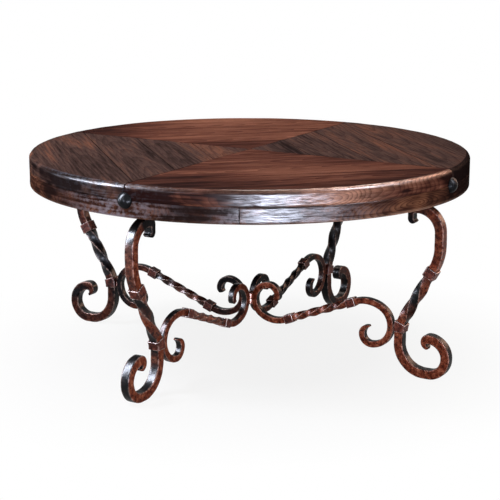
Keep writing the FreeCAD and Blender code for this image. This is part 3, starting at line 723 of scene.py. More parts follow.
def forged_bar(frames: Frames, half_width: float, section: SquareSection, scale: np.ndarray,
               age: np.ndarray, wax: np.ndarray, dent: float, seed: int) -> Surface:
    """A square bar carried along its route, with hammer marks.

    At each station the section is drawn with the route's half thickness one way and the half width the
    other, pressed in by smooth noise, turned about the bar, and set on the middle and the normal. The ends
    are rounded by sqrt(1 - x^2) over their last stretch.

    Args:
        frames: Stations of the bar.
        half_width: Half of the bar's width across its plane.
        section: The bar's section.
        scale: Share of dark on the bar's two radial faces, by station: fire scale, and a painted dark
            reflection.
        age: Share of dark on all its faces, by station: fire scale, and painted shade.
        wax: Share of wax left on the bar, by station.
        dent: Depth of the hammer marks, in millimetres.
        seed: Seed of the hammer marks.

    Returns:
        The closed bar, in the XZ plane.
    """
    shape = section.outline()
    run = frames.run[:, None]
    around = np.arange(len(shape["p"]))[None, :]
    # Lengths of the broad hammer marks, of the finer ones over them, and of the nicks in the arrises.
    broad, fine, nick = 15.0, 6.0, 9.0
    depth = dent * soft_noise(run / broad, around / 4.0, seed) ** 1.5
    depth = depth + 0.35 * dent * soft_noise(run / fine, around / 2.0, seed + 1)
    depth = depth + shape["arris"] * dent * 1.2 * soft_noise(run / nick, around / 9.0, seed + 2)
    # Length over which the ends are rounded, and how blunt they start.
    tip, blunt = 4.0, 0.08
    near = np.minimum(run, run[-1] - run)
    ends = np.sqrt(1 - (1 - np.clip(blunt + near / tip, 0, 1)) ** 2)
    p = (frames.half[:, None] * shape["p"] - depth * shape["op"]) * ends
    q = (half_width * shape["q"] - depth * shape["oq"]) * ends
    cosine, sine = np.cos(frames.turn)[:, None], np.sin(frames.turn)[:, None]
    along, across = p * cosine - q * sine, p * sine + q * cosine
    reach = frames.centre[:, :1] + along * frames.normal[:, :1]
    height = frames.centre[:, 1:] + along * frames.normal[:, 1:]
    grid = np.stack([reach, across, height], -1)
    arris = np.broadcast_to(shape["arris"][None, :], grid.shape[:2])
    face, twisting = shape["dark"][None, :], frames.twisting()[:, None]
    # Dark: fire scale, a painted dark reflection on the radial faces, and painted shade on far legs and
    # heads.
    dark = np.maximum(face * scale[:, None], age[:, None])
    face_wax, twist_wax = 0.18, 0.2
    burnish = wax[:, None] * np.maximum(face_wax * face, twist_wax * twisting)
    return tube(grid, {"arris": arris, "dark": dark, "burnish": burnish})


def wrapped_collar(frames: Frames, start: float, half: float, length: float, strip: float, seed: int,
                   age: float) -> Surface:
    """A strip wrapped round a square bar: a square sleeve with eased, slightly uneven edges.

    A closed outline of (run, half side) is carried round the square: up the outside with rounded edges,
    over the end and down the inside. Noise round the sleeve moves its edges along the bar.

    Args:
        frames: Stations of the bar.
        start: Run at which the collar starts.
        half: Half side of the bore.
        length: Length along the bar.
        strip: Thickness of the strip.
        seed: Seed of the unevenness.
        age: Share of dark scale painted on the strip, as shade on the far sides.

    Returns:
        The closed collar, in the XZ plane.
    """
    shape = SquareSection(corner=0.16, per_side=6).outline()
    # Round of the edges, start of the flat, how far the edges wander, and depth of the dents.
    ease, flat, wander, dent = 0.9, 2.0, 0.9, 0.5
    rise = np.linspace(0, 1, 5)
    runs = np.concatenate([[0, 0, 0.3 * ease, ease], flat + (length - 2 * flat) * rise,
                           [length - ease, length - 0.3 * ease, length, length]])
    outs = np.concatenate([[0, strip - ease, strip - 0.3 * ease, strip], np.full(len(rise), strip),
                           [strip, strip - 0.3 * ease, strip - ease, 0]])
    edge = np.concatenate([[0, 0.7, 1, 0.8], np.zeros(len(rise)), [0.8, 1, 0.7, 0]])
    around = np.arange(len(shape["p"]))[None, :]
    uneven = soft_noise(around / 3.5, np.zeros((1, 1)), seed) * wander
    low = (runs / length)[:, None]
    place = start + runs[:, None] + uneven * (1 - low) - np.roll(uneven, 9) * low
    outs, edge = outs[:, None], edge[:, None]
    size = half + outs - (outs > 0) * dent * soft_noise(around / 3.0, runs[:, None] / 7, seed + 1)
    centre, normal = frames.at(place)
    along, across = size * shape["p"], size * shape["q"]
    grid = np.stack([centre[..., 0] + along * normal[..., 0], across,
                     centre[..., 1] + along * normal[..., 1]], -1)
    # The strip's edges are rubbed bright and its corners less, and both less under the far sides' painted
    # shade.
    edge_rub, corner_rub, shaded_rub = 0.9, 0.35, 0.7
    arris = np.maximum(edge * edge_rub, corner_rub * shape["arris"][None, :] * (edge < 1))
    arris = arris * (1 - shaded_rub * age)
    # Dark on the strip's radial faces, and how dark the far sides' painted shade makes it.
    face_scale, shaded_dark = 0.25, 0.6
    dark = np.maximum(face_scale * shape["dark"][None, :], shaded_dark * age)
    # Wax lies on the whole strip, and most on its rubbed metal.
    wax, rubbed_wax = 0.12, 0.4
    return tube(grid, {"arris": arris, "dark": dark, "burnish": wax + rubbed_wax * arris}, ring=True)


def polar(centre: Point, radius: float, degrees: float) -> Point:
    """The point at an angle in degrees on a circle."""
    angle = math.radians(degrees)
    return (centre[0] + radius * math.cos(angle), centre[1] + radius * math.sin(angle))


@dataclass(frozen=True)
class ScrolledBar:
    """What a leg and a stretcher share: a forged, twisted square bar that carries two wrapped collars."""

    bar: float
    section: SquareSection
    twist: float
    step: float
    dent: float
    collar_length: float = 25.0
    collar_strip: float = 3.0
    collar_clearance: float = 0.2
    collar_margin: float = 1.0

    def collar_room(self) -> float:
        """Length of straight bar that a collar takes up."""
        return self.collar_length + 2 * self.collar_margin

    def add(self, kind: str, side: Side, frames: Frames, surface: Surface,
            collars: Sequence[tuple[str, float, int]], iron: bpy.types.Material,
            collar_iron: bpy.types.Material) -> None:
        """Add the bar and its collars to the table.

        Args:
            kind: What the bar is called.
            side: The side that it stands on.
            frames: Stations of the bar.
            surface: The bar's surface, in the XZ plane.
            collars: Name, first run and seed of each collar.
            iron: Finish of the bar.
            collar_iron: Finish of the collars.
        """
        add_piece(f"forged_{kind}_{side.value}", surface.turned(side.angle), iron,
                  [f"{kind}_{side.value}"])
        bore = self.bar / 2 + self.collar_clearance
        for place, start, seed in collars:
            # Collars on the far sides get the same painted shade as their bars.
            collar = wrapped_collar(frames, start, bore, self.collar_length, self.collar_strip, seed,
                                    side.age)
            name = f"{kind}_collar_{place}_{side.value}"
            add_piece(f"wrapped_{name}", collar.turned(side.angle), collar_iron, [name])


@dataclass(frozen=True)
class Leg(ScrolledBar):
    """A leg of 23 mm square bar: foot scroll, twisted lean, and a bow that turns down under the top."""

    bar: float = 23.0
    section: SquareSection = SquareSection(corner=0.15)
    twist: float = 180.0
    step: float = 2.6
    dent: float = 0.55
    foot_back: Point = (480.0, 77.5)
    foot_back_radius: float = 66.0
    foot_front: Point = (492.0, 53.5)
    foot_front_radius: float = 42.0
    foot_top: Point = (490.0, 53.5)
    foot_top_radius: float = 44.0
    tail_radius: float = 19.0
    tip: float = 7.0
    bend_start: float = 101.0
    lower_bend: float = 75.0
    upper_bend: float = 107.0
    bow_middle: float = 510.5
    bow_foot: float = 352.0
    bow_run: float = 32.0
    bow_radius: float = 54.5
    bow_flat: float = 6.5
    plate_level: float = 418.0
    curl_outer: float = 19.5
    curl_inner: float = 4.0
    curl_drop: float = 36.5
    hook_outer: float = 12.5
    hook_inner: float = 6.0
    hook_end: float = 290.0
    lower_collar_rise: float = 3.0
    # The head's last stretch, under the top, is dark: fire scale, and painted shade from the top. The dark
    # thins out over the fades.
    dark_end: float = 90.0
    head_fade: float = 40.0
    bow_fade: float = 20.0
    # The front leg's neck, under its lower collar, was brushed, and its bow has scale past the crest.
    neck_drop: float = 22.0
    neck_width: float = 30.0
    crest_start: float = 85.0
    crest_length: float = 50.0
    # Shares of dark on the two radial faces, fire scale and a painted dark reflection,
    # and what brushing took off.
    foot_faces: float = 0.95
    twist_brushed: float = 0.12
    neck_brushed: float = 0.36
    bow_faces: float = 0.3
    front_bow_faces: float = 0.25
    front_crest_faces: float = 0.4
    # Shares of dark on all faces: fire scale, with painted shade on the far legs and at the head;
    # and of the wax that is added on the bow.
    twist_age: float = 0.5
    twist_scale: float = 0.45
    head_shade_and_scale: float = 0.85
    bow_scale: float = 0.5
    bow_wax: float = 0.4

    def route(self) -> tuple[Frames, float, float]:
        """The leg's way from the tip of its foot to the tip of its head.

        The lean is the straight line that touches both bends from inside: its angle is the arc sine of the
        bends' sum over the distance of their middles, plus the slope of the line between the middles.

        Returns:
            The stations, and the runs at which the lower and the upper collar start.
        """
        half = self.bar / 2
        low = (self.foot_back[0] - self.foot_back_radius + self.lower_bend, self.bend_start)
        high = (self.bow_middle - self.upper_bend, self.bow_foot - self.bow_run)
        span = math.dist(low, high)
        both = self.lower_bend + self.upper_bend
        lean = math.degrees(math.asin(both / span) + math.atan2(high[0] - low[0], high[1] - low[1]))
        lean_length = math.sqrt(span ** 2 - both ** 2)
        room = self.collar_room()

        route = Route(half, self.step)
        crest = self.foot_top[1] + self.foot_top_radius + half
        tail_inner = self.tail_radius - (self.bar + self.tip) / 2
        route.taper(((self.foot_top[0], crest - self.tail_radius), self.tail_radius, 270, 90),
                    ((self.foot_top[0], crest - self.bar - tail_inner), tail_inner, 270, 90))
        route.arc(self.foot_top, self.foot_top_radius, 90, 0)
        route.arc(self.foot_front, self.foot_front_radius, 0, -90)
        route.line((self.foot_front[0], half), 180, self.foot_front[0] - self.foot_back[0])
        route.arc(self.foot_back, self.foot_back_radius, -90, -180)
        shank = self.foot_back[0] - self.foot_back_radius
        route.line((shank, self.foot_back[1]), 90, self.bend_start - self.foot_back[1])
        lower_collar = route.length() + self.lower_collar_rise
        route.arc(low, self.lower_bend, 180, 180 - lean)
        start = polar(low, self.lower_bend, 180 - lean)
        route.line(start, 90 - lean, lean_length - room, (0.0, self.twist))
        upper_collar = route.length() + self.collar_margin
        route.line(polar(start, lean_length - room, 90 - lean), 90 - lean, room, (self.twist, self.twist))
        route.arc(high, self.upper_bend, -lean, 0, self.twist)
        route.line((self.bow_middle, high[1]), 90, self.bow_run, (self.twist, self.twist))
        bow = (self.bow_middle - self.bow_radius, self.bow_foot)
        route.arc(bow, self.bow_radius, 0, 90, self.twist)
        route.line((bow[0], self.plate_level - half), 180, self.bow_flat, (self.twist, self.twist))
        self._head(route, bow[0] - self.bow_flat)
        return route.frames(), lower_collar, upper_collar

    def _head(self, route: Route, head: float) -> None:
        """The head's turned-down end: a tight curl, a short drop and a hook.

        Args:
            route: The leg's route so far.
            head: Reach at which the curl starts.
        """
        curl_level = self.plate_level - self.curl_outer
        eye_level = self.plate_level - self.bar - self.curl_inner
        hook_level = self.plate_level - self.curl_drop
        outer, inner = head - self.curl_outer, head - self.curl_inner
        route.taper(((head, eye_level), self.curl_inner, 90, 180),
                    ((head, curl_level), self.curl_outer, 90, 180), self.twist)
        route.sides(((inner, eye_level), (inner, hook_level)),
                    ((outer, curl_level), (outer, hook_level)), self.twist)
        route.taper(((inner + self.hook_inner, hook_level), self.hook_inner, 180, 270),
                    ((outer + self.hook_outer, hook_level), self.hook_outer, 180, self.hook_end),
                    self.twist)

    def make(self, side: Side, iron: bpy.types.Material, collar_iron: bpy.types.Material) -> None:
        """Build one leg and its two collars.

        Args:
            side: Where the leg stands.
            iron: Finish of the bar.
            collar_iron: Finish of the collars.
        """
        seed = 100 + 10 * side.number
        collar_seed = seed + 5
        frames, lower, upper = self.route()
        run, twisting, is_front = frames.run, frames.twisting(), side is Side.FRONT
        neck = bell(run, lower - self.neck_drop, self.neck_width) * is_front
        crest = climb(run, upper + self.crest_start, self.crest_length)
        scale = np.where(
            run < upper, self.foot_faces - self.twist_brushed * twisting - self.neck_brushed * neck,
            self.bow_faces + (self.front_bow_faces + self.front_crest_faces * crest) * is_front)
        # The head under the top is darkened: fire scale, and painted shade.
        head = climb(run, run[-1] - self.dark_end - self.head_fade / 2, self.head_fade)
        bow = climb(run, upper + self.collar_length, self.bow_fade) * (1 - head)
        # Painted shade darkens the far legs, the more on their twists.
        age = np.maximum.reduce([side.age * (1 + self.twist_age * twisting), self.head_shade_and_scale * head,
                                 self.twist_scale * twisting + self.bow_scale * bow * (side is Side.RIGHT)])
        wax = side.wax * (1 + self.bow_wax * bow)
        surface = forged_bar(frames, self.bar / 2, self.section, scale, age, wax, self.dent, seed)
        collars = (("lower", lower, collar_seed), ("upper", upper, collar_seed))
        self.add("leg", side, frames, surface, collars, iron, collar_iron)


@dataclass(frozen=True)
class Stretcher(ScrolledBar):
    """A stretcher of 16 mm square bar: inner scroll, twisted slope, and an outer scroll by the leg."""

    bar: float = 16.0
    section: SquareSection = SquareSection(corner=0.16, per_side=6)
    twist: float = 360.0
    step: float = 2.2
    dent: float = 0.4
    arch_reach: float = 340.3
    arch_height: float = 113.0
    arch_radius: float = 50.5
    crown_radius: float = 80.0
    crown_angle: float = 60.0
    lip_radius: float = 24.0
    lip_outer: float = 22.0
    lip_inner: float = 19.0
    lip_outer_end: float = 75.0
    lip_inner_end: float = 110.0
    hub_gap: float = 10.0
    hub_height: float = 131.0
    sole_radius: float = 75.0
    heel_radius: float = 43.0
    heel_angle: float = 240.0
    shoulder_radius: float = 40.0
    brow_radius: float = 25.0
    chin_outer: float = 14.0
    chin_inner: float = 9.0
    chin_outer_end: float = -80.0
    chin_inner_end: float = -60.0
    # The inner scroll's first stretch is drawn dark, by the side's share. The dark thins out over the fade.
    dark_end: float = 130.0
    scroll_fade: float = 40.0
    # Shares of dark on the two radial faces, fire scale and a painted dark reflection, what brushing took
    # off, and how much more painted shade the back twist has.
    faces: float = 0.85
    twist_brushed: float = 0.45
    back_twist_age: float = 0.4

    def route(self) -> tuple[Frames, float, float]:
        """The stretcher's way from its inner tip by the table's middle to its outer tip by the leg.

        The slope is the straight line that touches the sole from above and the crown from below, found
        from their radii and the distance of their middles as for the leg's lean.

        Returns:
            The stations, and the runs at which the inner and the outer collar start.
        """
        half = self.bar / 2
        arch = (self.arch_reach, self.arch_height)
        crown = polar(arch, self.arch_radius - self.crown_radius, self.crown_angle)
        lip = (arch[0], arch[1] - self.arch_radius + self.lip_radius)
        hub = self.hub_gap + half
        heel = (hub + self.heel_radius, self.hub_height)
        sole = polar(heel, self.heel_radius - self.sole_radius, self.heel_angle)
        shoulder = (hub + self.shoulder_radius, self.hub_height)
        brow = (shoulder[0], shoulder[1] + self.shoulder_radius - self.brow_radius)
        span = math.dist(sole, crown)
        both = self.sole_radius + self.crown_radius
        slope = math.degrees(math.asin(both / span) + math.atan2(crown[1] - sole[1], crown[0] - sole[0]))
        length = math.sqrt(span ** 2 - both ** 2)
        room = self.collar_room()

        route = Route(half, self.step)
        front = brow[0] + self.brow_radius
        route.taper(((front - half - self.chin_inner, brow[1]), self.chin_inner, self.chin_inner_end, 0),
                    ((front + half - self.chin_outer, brow[1]), self.chin_outer, self.chin_outer_end, 0))
        route.arc(brow, self.brow_radius, 0, 90)
        route.arc(shoulder, self.shoulder_radius, 90, 180)
        route.arc(heel, self.heel_radius, 180, self.heel_angle)
        route.arc(sole, self.sole_radius, self.heel_angle, 270 + slope)
        start = polar(sole, self.sole_radius, slope - 90)
        inner_collar = route.length() + self.collar_margin
        route.line(start, slope, room)
        route.line(polar(start, room, slope), slope, length - 2 * room, (0.0, self.twist))
        outer_collar = route.length() + self.collar_margin
        route.line(polar(start, length - room, slope), slope, room, (self.twist, self.twist))
        route.arc(crown, self.crown_radius, 90 + slope, self.crown_angle, self.twist)
        route.arc(arch, self.arch_radius, self.crown_angle, -90, self.twist)
        route.arc(lip, self.lip_radius, -90, -180, self.twist)
        back = lip[0] - self.lip_radius
        route.taper(((back - half + self.lip_outer, lip[1]), self.lip_outer, 180, self.lip_outer_end),
                    ((back + half + self.lip_inner, lip[1]), self.lip_inner, 180, self.lip_inner_end),
                    self.twist)
        return route.frames(), inner_collar, outer_collar

    def make(self, side: Side, iron: bpy.types.Material, collar_iron: bpy.types.Material) -> None:
        """Build one stretcher and its two collars.

        Args:
            side: The leg that it runs to.
            iron: Finish of the bar.
            collar_iron: Finish of the collars.
        """
        seed = 300 + 10 * side.number
        inner_seed, outer_seed = seed + 105, seed + 111
        frames, inner, outer = self.route()
        twisting = frames.twisting()
        scale = self.faces - self.twist_brushed * twisting
        scroll = climb(frames.run, self.dark_end, -self.scroll_fade)
        # Painted shade darkens the far sides' stretchers, and the back one's twist the more.
        twist_age = 1 + self.back_twist_age * twisting * (side is Side.BACK)
        age = np.maximum(side.age * twist_age, side.soot * scroll)
        wax = np.full(len(frames.run), side.wax)
        surface = forged_bar(frames, self.bar / 2, self.section, scale, age, wax, self.dent, seed)
        collars = (("inner", inner, inner_seed), ("outer", outer, outer_seed))
        self.add("stretcher", side, frames, surface, collars, iron, collar_iron)


@dataclass(frozen=True)
class Hump:
    """A smooth patch of wear about a turn on the table's edge, and about the opposite turn unless alone.

    Its strength is share * exp(-(x / width)^2), where x is the way round from its middle in degrees. Its
    width before the middle may differ, and its middle may move by a slant for each millimetre down.
    """

    share: float
    turn: float
    width: float
    before: float | None = None
    slant: float = 0.0
    alone: bool = False

    def at(self, turn: np.ndarray, below: np.ndarray) -> np.ndarray:
        """Strength of the patch.

        Args:
            turn: Turn of each point about the table's axis, in degrees.
            below: Depth of each point below the top, in millimetres.

        Returns:
            Strengths by point.
        """
        repeat = 360.0 if self.alone else 180.0
        middle = self.turn + self.slant * (below - SLANT_DEPTH)
        past = (turn - middle + repeat / 2) % repeat - repeat / 2
        return self.share * bell(past, 0.0, np.where(past < 0, self.before or self.width, self.width))


@dataclass(frozen=True)
class EdgeWear:
    """Wear of one course of wood on the table's edge, as patches by the turn about the table's axis.

    The lip is the rubbed arris of the course. Some patches are partly painted light: grey scuffs partly
    stand for a sheen, pale patches partly for a highlight, and one dark patch of tone for shade. Depths
    below the top are in millimetres, as middle and width.
    """

    scuff_and_sheen: tuple[Hump, ...]
    polish: tuple[Hump, ...]
    tone: tuple[Hump, ...]
    # Pale patches of rubbed wood, partly a painted highlight.
    bare_and_highlight: tuple[Hump, ...] = ()
    lip_scuff_and_sheen: tuple[Hump, ...] = ()
    lines: tuple[Hump, ...] = ()
    chips: tuple[Hump, ...] = ()
    lip_shine: Hump = Hump(0.94, 333, 21)
    # The pale lip is partly worn wood and partly a painted highlight.
    lip_worn: Hump = Hump(0.8, 338, 22)
    lip_bare_and_highlight: Hump = Hump(0.9, 338, 20)
    bare_depth: tuple[float, float] = (4.0, 5.0)
    line_depth: tuple[float, float] = (7.5, 2.2)
    chip_depth: tuple[float, float] = (34.0, 7.0)
    # Chips are not cut out: they are painted dark by this share, as shade in a notch.
    chip_shade: float = 1.2
    # Wax that is left all over, on the face of the top, less on its edge, and on the lip, and wear there.
    face_wax: float = 0.025
    edge_loss: float = 0.015
    lip_wax: float = 0.06
    lip_wear: float = 0.2

    def layers(self, turn: np.ndarray, outer: np.ndarray, rub: np.ndarray,
               below: np.ndarray) -> dict[str, np.ndarray]:
        """Layers of wear for the wood's finish.

        Where patches of scuffed wax and painted sheen, of polish, or of rubbed wood and painted highlight
        meet, the strongest shows; patches of tone, one of them painted shade, are added up. A line of wax
        runs under the lip, and chips are painted dark, as shade in a notch, and without wax.

        Args:
            turn: Turn of each point, in degrees.
            outer: Share from 0 inside the edge to 1 on it.
            rub: Share of the rubbed arris.
            below: Depth of each point below the top.

        Returns:
            Layers of scuffed wax and painted sheen, polish, wear and painted highlight, and tone.
        """
        most = {key: np.max([patch.at(turn, below) for patch in patches], axis=0, initial=0.0)
                for key, patches in (("scuff_and_sheen", self.scuff_and_sheen), ("polish", self.polish), ("bare_and_highlight", self.bare_and_highlight),
                                     ("lip_scuff_and_sheen", self.lip_scuff_and_sheen), ("line", self.lines),
                                     ("chip", self.chips))}
        tone = sum(patch.at(turn, below) for patch in self.tone)
        chip = bell(below, *self.chip_depth) * most["chip"]
        line = outer * bell(below, *self.line_depth) * most["line"]
        film = self.face_wax - self.edge_loss * outer + (1 - rub) * outer * most["polish"]
        shine = rub * (self.lip_wax + self.lip_shine.at(turn, below))
        bare_and_highlight = np.maximum(bell(below, *self.bare_depth) * self.lip_bare_and_highlight.at(turn, below), most["bare_and_highlight"])
        worn = rub * (self.lip_wear + self.lip_worn.at(turn, below))
        return {"scuff_and_sheen": np.maximum(outer * most["scuff_and_sheen"], rub * most["lip_scuff_and_sheen"]),
                "polish": np.maximum.reduce(np.broadcast_arrays(film * (1 - chip), shine, line)),
                "worn": np.maximum(worn, outer * bare_and_highlight),
                "tone": outer * (tone - self.chip_shade * chip)}


class Course(Enum):
    """The two courses of wood that show on the table's edge, with their wear.

    Scuffed wax, partly a painted sheen, lies beside the front stud, wax is rubbed up between the front and
    the right stud, and pale wood, partly a painted highlight, shows to the right of that. Past the right
    stud the edge is painted darker, as shade. Two chips in the planks' lower edge are painted dark, as
    shade in a notch.
    """

    PLANKS = EdgeWear(
        scuff_and_sheen=(Hump(0.3, 264, 12),),
        polish=(Hump(0.98, 302.5, 14, before=7.5), Hump(0.18, 326, 12)),
        # The last patch of tone, past the right stud, is painted shade.
        tone=(Hump(0.3, 322, 10), Hump(0.18, 334, 10), Hump(0.28, 349, 7), Hump(-0.22, 249, 9),
              Hump(-0.1, 277, 6), Hump(0.12, 290, 7), Hump(-0.25, 304, 8), Hump(-0.48, 15, 17, alone=True)),
        bare_and_highlight=(Hump(0.9, 321, 9),),
        lip_scuff_and_sheen=(Hump(1.3, 262, 18),),
        lines=(Hump(0.8, 264, 15),),
        chips=(Hump(1.0, 301.3, 0.95, slant=0.15, alone=True), Hump(0.7, 313.5, 0.8, alone=True)))
    RIM = EdgeWear(
        scuff_and_sheen=(Hump(1.15, 267, 12), Hump(0.7, 295, 4), Hump(0.45, 321, 9)),
        polish=(Hump(0.95, 305.5, 7, before=8), Hump(0.3, 320, 12)),
        # The last patch of tone, past the right stud, is painted shade.
        tone=(Hump(0.12, 345, 12), Hump(-0.2, 243, 11), Hump(-0.3, 286, 6), Hump(-0.25, 305, 8),
              Hump(-0.48, 15, 17, alone=True)))


@dataclass(frozen=True)
class Top:
    """The planked top: four wedges of four boards, and the rim of four segments under them."""

    radius: float = 533.5
    height: float = 505.0
    seam: float = 468.0
    under: float = 430.0
    rim_width: float = 150.0
    rim_joint: float = 28.0
    edge_round: float = 10.0
    rim_ease: float = 4.0
    plank: float = 118.0
    planks: int = 4
    gap: float = 0.25
    ease: float = 0.8
    # How far the boards' faces wave, and how far the planks' edge and the rim's face are uneven.
    wave: float = 0.5
    ragged: float = 1.1
    rim_wave: float = 0.7
    dark_wear: float = 0.25
    joint_stain: float = 0.5
    # The inmost boards end in a blunt point this far from the table's middle.
    blunt: float = 0.6
    # Depth of the pith of a board's log under the face, in metres, and its rise for each metre along.
    pith_depth: float = 0.075
    pith_tilt: float = 0.05
    # On the table's edge the middle of the rings wanders this far up and down, and in and out of the wood.
    edge_rise: float = 12.0
    edge_depth: float = 11.0
    edge_tilt: float = 0.2
    edge_blotch: float = 0.17
    along_steps: int = 110
    across_steps: int = 14

    def make(self, warm: bpy.types.Material, dark: bpy.types.Material, rim: bpy.types.Material) -> None:
        """Build all boards and rim segments.

        Args:
            warm: Finish of the front and back wedges.
            dark: Finish of the left and right wedges.
            rim: Finish of the rim segments.
        """
        for side in Side:
            stain, slot = (warm, "board_warm") if side.is_warm else (dark, "board_dark")
            for number in range(1, self.planks + 1):
                add_piece(f"plank_{side.value}_{number}", self._board(side, number), stain,
                          [f"board_{side.value}_{number}"])
            add_piece(f"rim_course_{side.value}", self._rim_segment(side), rim,
                      [f"rim_segment_{side.value}"])

    def _stations(self) -> tuple[np.ndarray, np.ndarray]:
        """Places along a board, closer together at its ends.

        Returns:
            Places from -1 to 1, and how far the top is eased at each.
        """
        ends = np.array([0.0, 0.0025, 0.006])
        inner = np.linspace(-1 + 0.012, 1 - 0.012, self.along_steps)
        places = np.concatenate([-1 + ends, inner, 1 - ends[::-1]])
        eased = np.concatenate([[1.0, 0.3, 0.0], np.zeros(len(inner)), [0.0, 0.3, 1.0]])
        return places, eased * self.ease

    def _board(self, side: Side, number: int) -> Surface:
        """One plank, swept along its length.

        In the wedge's own frame, u runs out along its middle and v across. A place t from -1 to 1 along
        the board and a share s across it give u = u0 + s (u1 - u0) and v = t u, less the joint's gap. The
        outermost board runs from that straight inner edge to the circle r (cos 45 t, sin 45 t). The outline
        across the board goes up its inner edge, over the top with eased corners, and down its outer edge.

        Args:
            side: The wedge's side.
            number: Number of the board from the middle outwards.

        Returns:
            The closed board.
        """
        seed = 500 + 20 * side.number + number
        rng = np.random.default_rng(seed)
        last = number == self.planks
        place, eased = self._stations()
        mitre = self.gap * math.sqrt(2)
        u0 = max((number - 1) * self.plank + self.gap, mitre + self.blunt)
        u1 = number * self.plank - self.gap
        share, inset, drop, worn = self._outer_profile() if last else self._inner_profile(u1 - u0)
        t, s = place[None, :], share[:, None]
        half_turn = math.radians(45) - self.gap / self.radius
        if last:
            uneven = self.ragged * soft_noise(t * 19.0 + 40, np.zeros((1, 1)), seed + 3)
            ring = self.radius - inset[:, None] - uneven * (inset < self.edge_round - 1)[:, None]
            u = (1 - s) * u0 + s * ring * np.cos(half_turn * t)
            v = (1 - s) * (t * (u0 - mitre)) + s * ring * np.sin(half_turn * t)
        else:
            u = u0 + s * (u1 - u0) + 0 * t
            v = t * (u - mitre)
        # The ends are eased on the face alone.
        on_face, on_round = drop < self.edge_round / 2, drop < self.edge_round + 2
        top = self.height - drop[:, None] - eased[None, :] * on_face[:, None]
        # Planing left narrow waves along the board, and broad dips of less than half their depth.
        narrow, stroke, broad, shallow = 23.0, 160.0, 60.0, 0.4
        dip = self.wave * soft_noise(u / narrow + 7, v / stroke, seed)
        dip = dip + shallow * self.wave * soft_noise(u / broad, v / broad, seed + 1)
        z = np.maximum(np.where(on_round[:, None], top - dip, top), self.seam)
        grid = np.stack([u, v, z], -1).transpose(1, 0, 2)
        grain = np.stack([v, u, z], -1)
        pith = ((u0 + u1) / 2 * MM, self.height * MM - self.pith_depth)
        in_log = self._log_place(grain * MM, pith, self.pith_tilt, rng)
        if last:
            # On the table's edge the grain is drawn along the curve, as it shows there.
            edge = np.flatnonzero(inset <= self.edge_round)
            along = np.broadcast_to(self.radius * half_turn * t, u.shape)
            bent = np.stack([along, z, -np.broadcast_to(inset[:, None], u.shape)], -1)
            grain[edge] = bent[edge]
            in_log[edge] = self._edge_log(bent, (self.seam + self.height) / 2, seed)[edge]
        turn = np.degrees(np.arctan2(grid[..., 1], grid[..., 0])) + side.wedge_angle
        outer = climb(np.hypot(grid[..., 0], grid[..., 1]), self.radius - self.edge_round - 2, 6)
        layers = Course.PLANKS.value.layers(turn, outer, worn[None, :], drop[None, :])
        # Stain gathers in the joints, so that each shows as a dark line.
        lips = (drop > 0) & (drop < 2 * self.ease) & (inset == inset[0])
        joint = np.maximum(lips[None, :], (eased > 0)[:, None])
        tone = rng.uniform(-0.06, 0.05) + self._stain(side, grid) - self.joint_stain * joint
        layers["tone"] = layers["tone"] + tone + outer * self._blotches(turn, grid[..., 2], seed)
        layers["polish"] = layers["polish"] * (1 - joint)
        if not side.is_warm:
            # The dark wedges are little worn, and their edge is dull beside the worn wedge.
            dull = np.minimum(climb(turn % 180, 55, -25), 0.9)
            layers["worn"] = layers["worn"] * self.dark_wear
            layers["polish"] = layers["polish"] * (1 - outer * dull)
        shift = rng.uniform(0, 6, 3)
        layers.update(grain=grain.transpose(1, 0, 2) * MM + shift, log=in_log.transpose(1, 0, 2))
        return tube(grid, layers).turned(side.wedge_angle)

    @staticmethod
    def _log_place(grain: np.ndarray, pith: tuple[float, float], tilt: float,
                   rng: np.random.Generator) -> np.ndarray:
        """Place in the log that a board was sawn from: along the log, and across from its pith.

        The pith lies under the board's face and runs out of it by a small tilt, so that the rings, which
        are circles about the pith, open into arches on the face.

        Args:
            grain: Place along, across and through the board, in metres.
            pith: Place of the pith across and through the board, in metres.
            tilt: Metres by which the pith rises for each metre along the board.
            rng: Source of the board's own shift.

        Returns:
            Place along the log and from the pith, in metres.
        """
        # Each log lies a little to one side, and sways along its length.
        aside, sway, bends = 0.02, 0.006, 9.0
        shift = rng.uniform(-aside, aside, 2)
        across = grain[..., 1] - pith[0] - shift[0] + sway * np.sin(grain[..., 0] * bends)
        through = grain[..., 2] - pith[1] - shift[1] - tilt * grain[..., 0]
        return np.stack([grain[..., 0], across, through], -1)

    def _edge_log(self, place: np.ndarray, middle: float, seed: int) -> np.ndarray:
        """Place in the log for the wood of the table's edge.

        The middle of the rings wanders by smooth noise along the edge, up and down and in and out of the
        wood, and runs out of the edge by a small tilt, so that the rings about it open into nested arches.

        Args:
            place: Place round the edge, height, and place outwards from the edge, in millimetres.
            middle: Height about which the rings wander.
            seed: Seed of the wandering.

        Returns:
            Place along the log and from its pith, in metres.
        """
        along, level, outwards = np.moveaxis(place, -1, 0)
        row = np.zeros((1, 1))
        # Lengths along the edge over which the middle moves up or down, and in or out.
        rise_length, depth_length = 170.0, 70.0
        rise = self.edge_rise * (2 * soft_noise(along / rise_length + 20, row, seed + 5) - 1)
        depth = self.edge_depth * (2 * soft_noise(along / depth_length + 20, row + 9.5, seed + 6) - 1)
        return np.stack([along, level - middle - rise, outwards + depth + self.edge_tilt * along], -1) * MM

    def _stain(self, side: Side, grid: np.ndarray) -> np.ndarray:
        """How much darker or paler the stain took on a wedge: clouds of noise, humps and climbs of tone.

        Args:
            side: The wedge's side.
            grid: Points in the wedge's own frame.

        Returns:
            What is added to the tone of the wood, by point.
        """
        u, v = grid[..., 0], grid[..., 1]
        clouds = 0.14 * (soft_noise(u / 170 + 3, v / 230 + 11, 60 + side.number) - 0.5)
        if side is Side.FRONT:
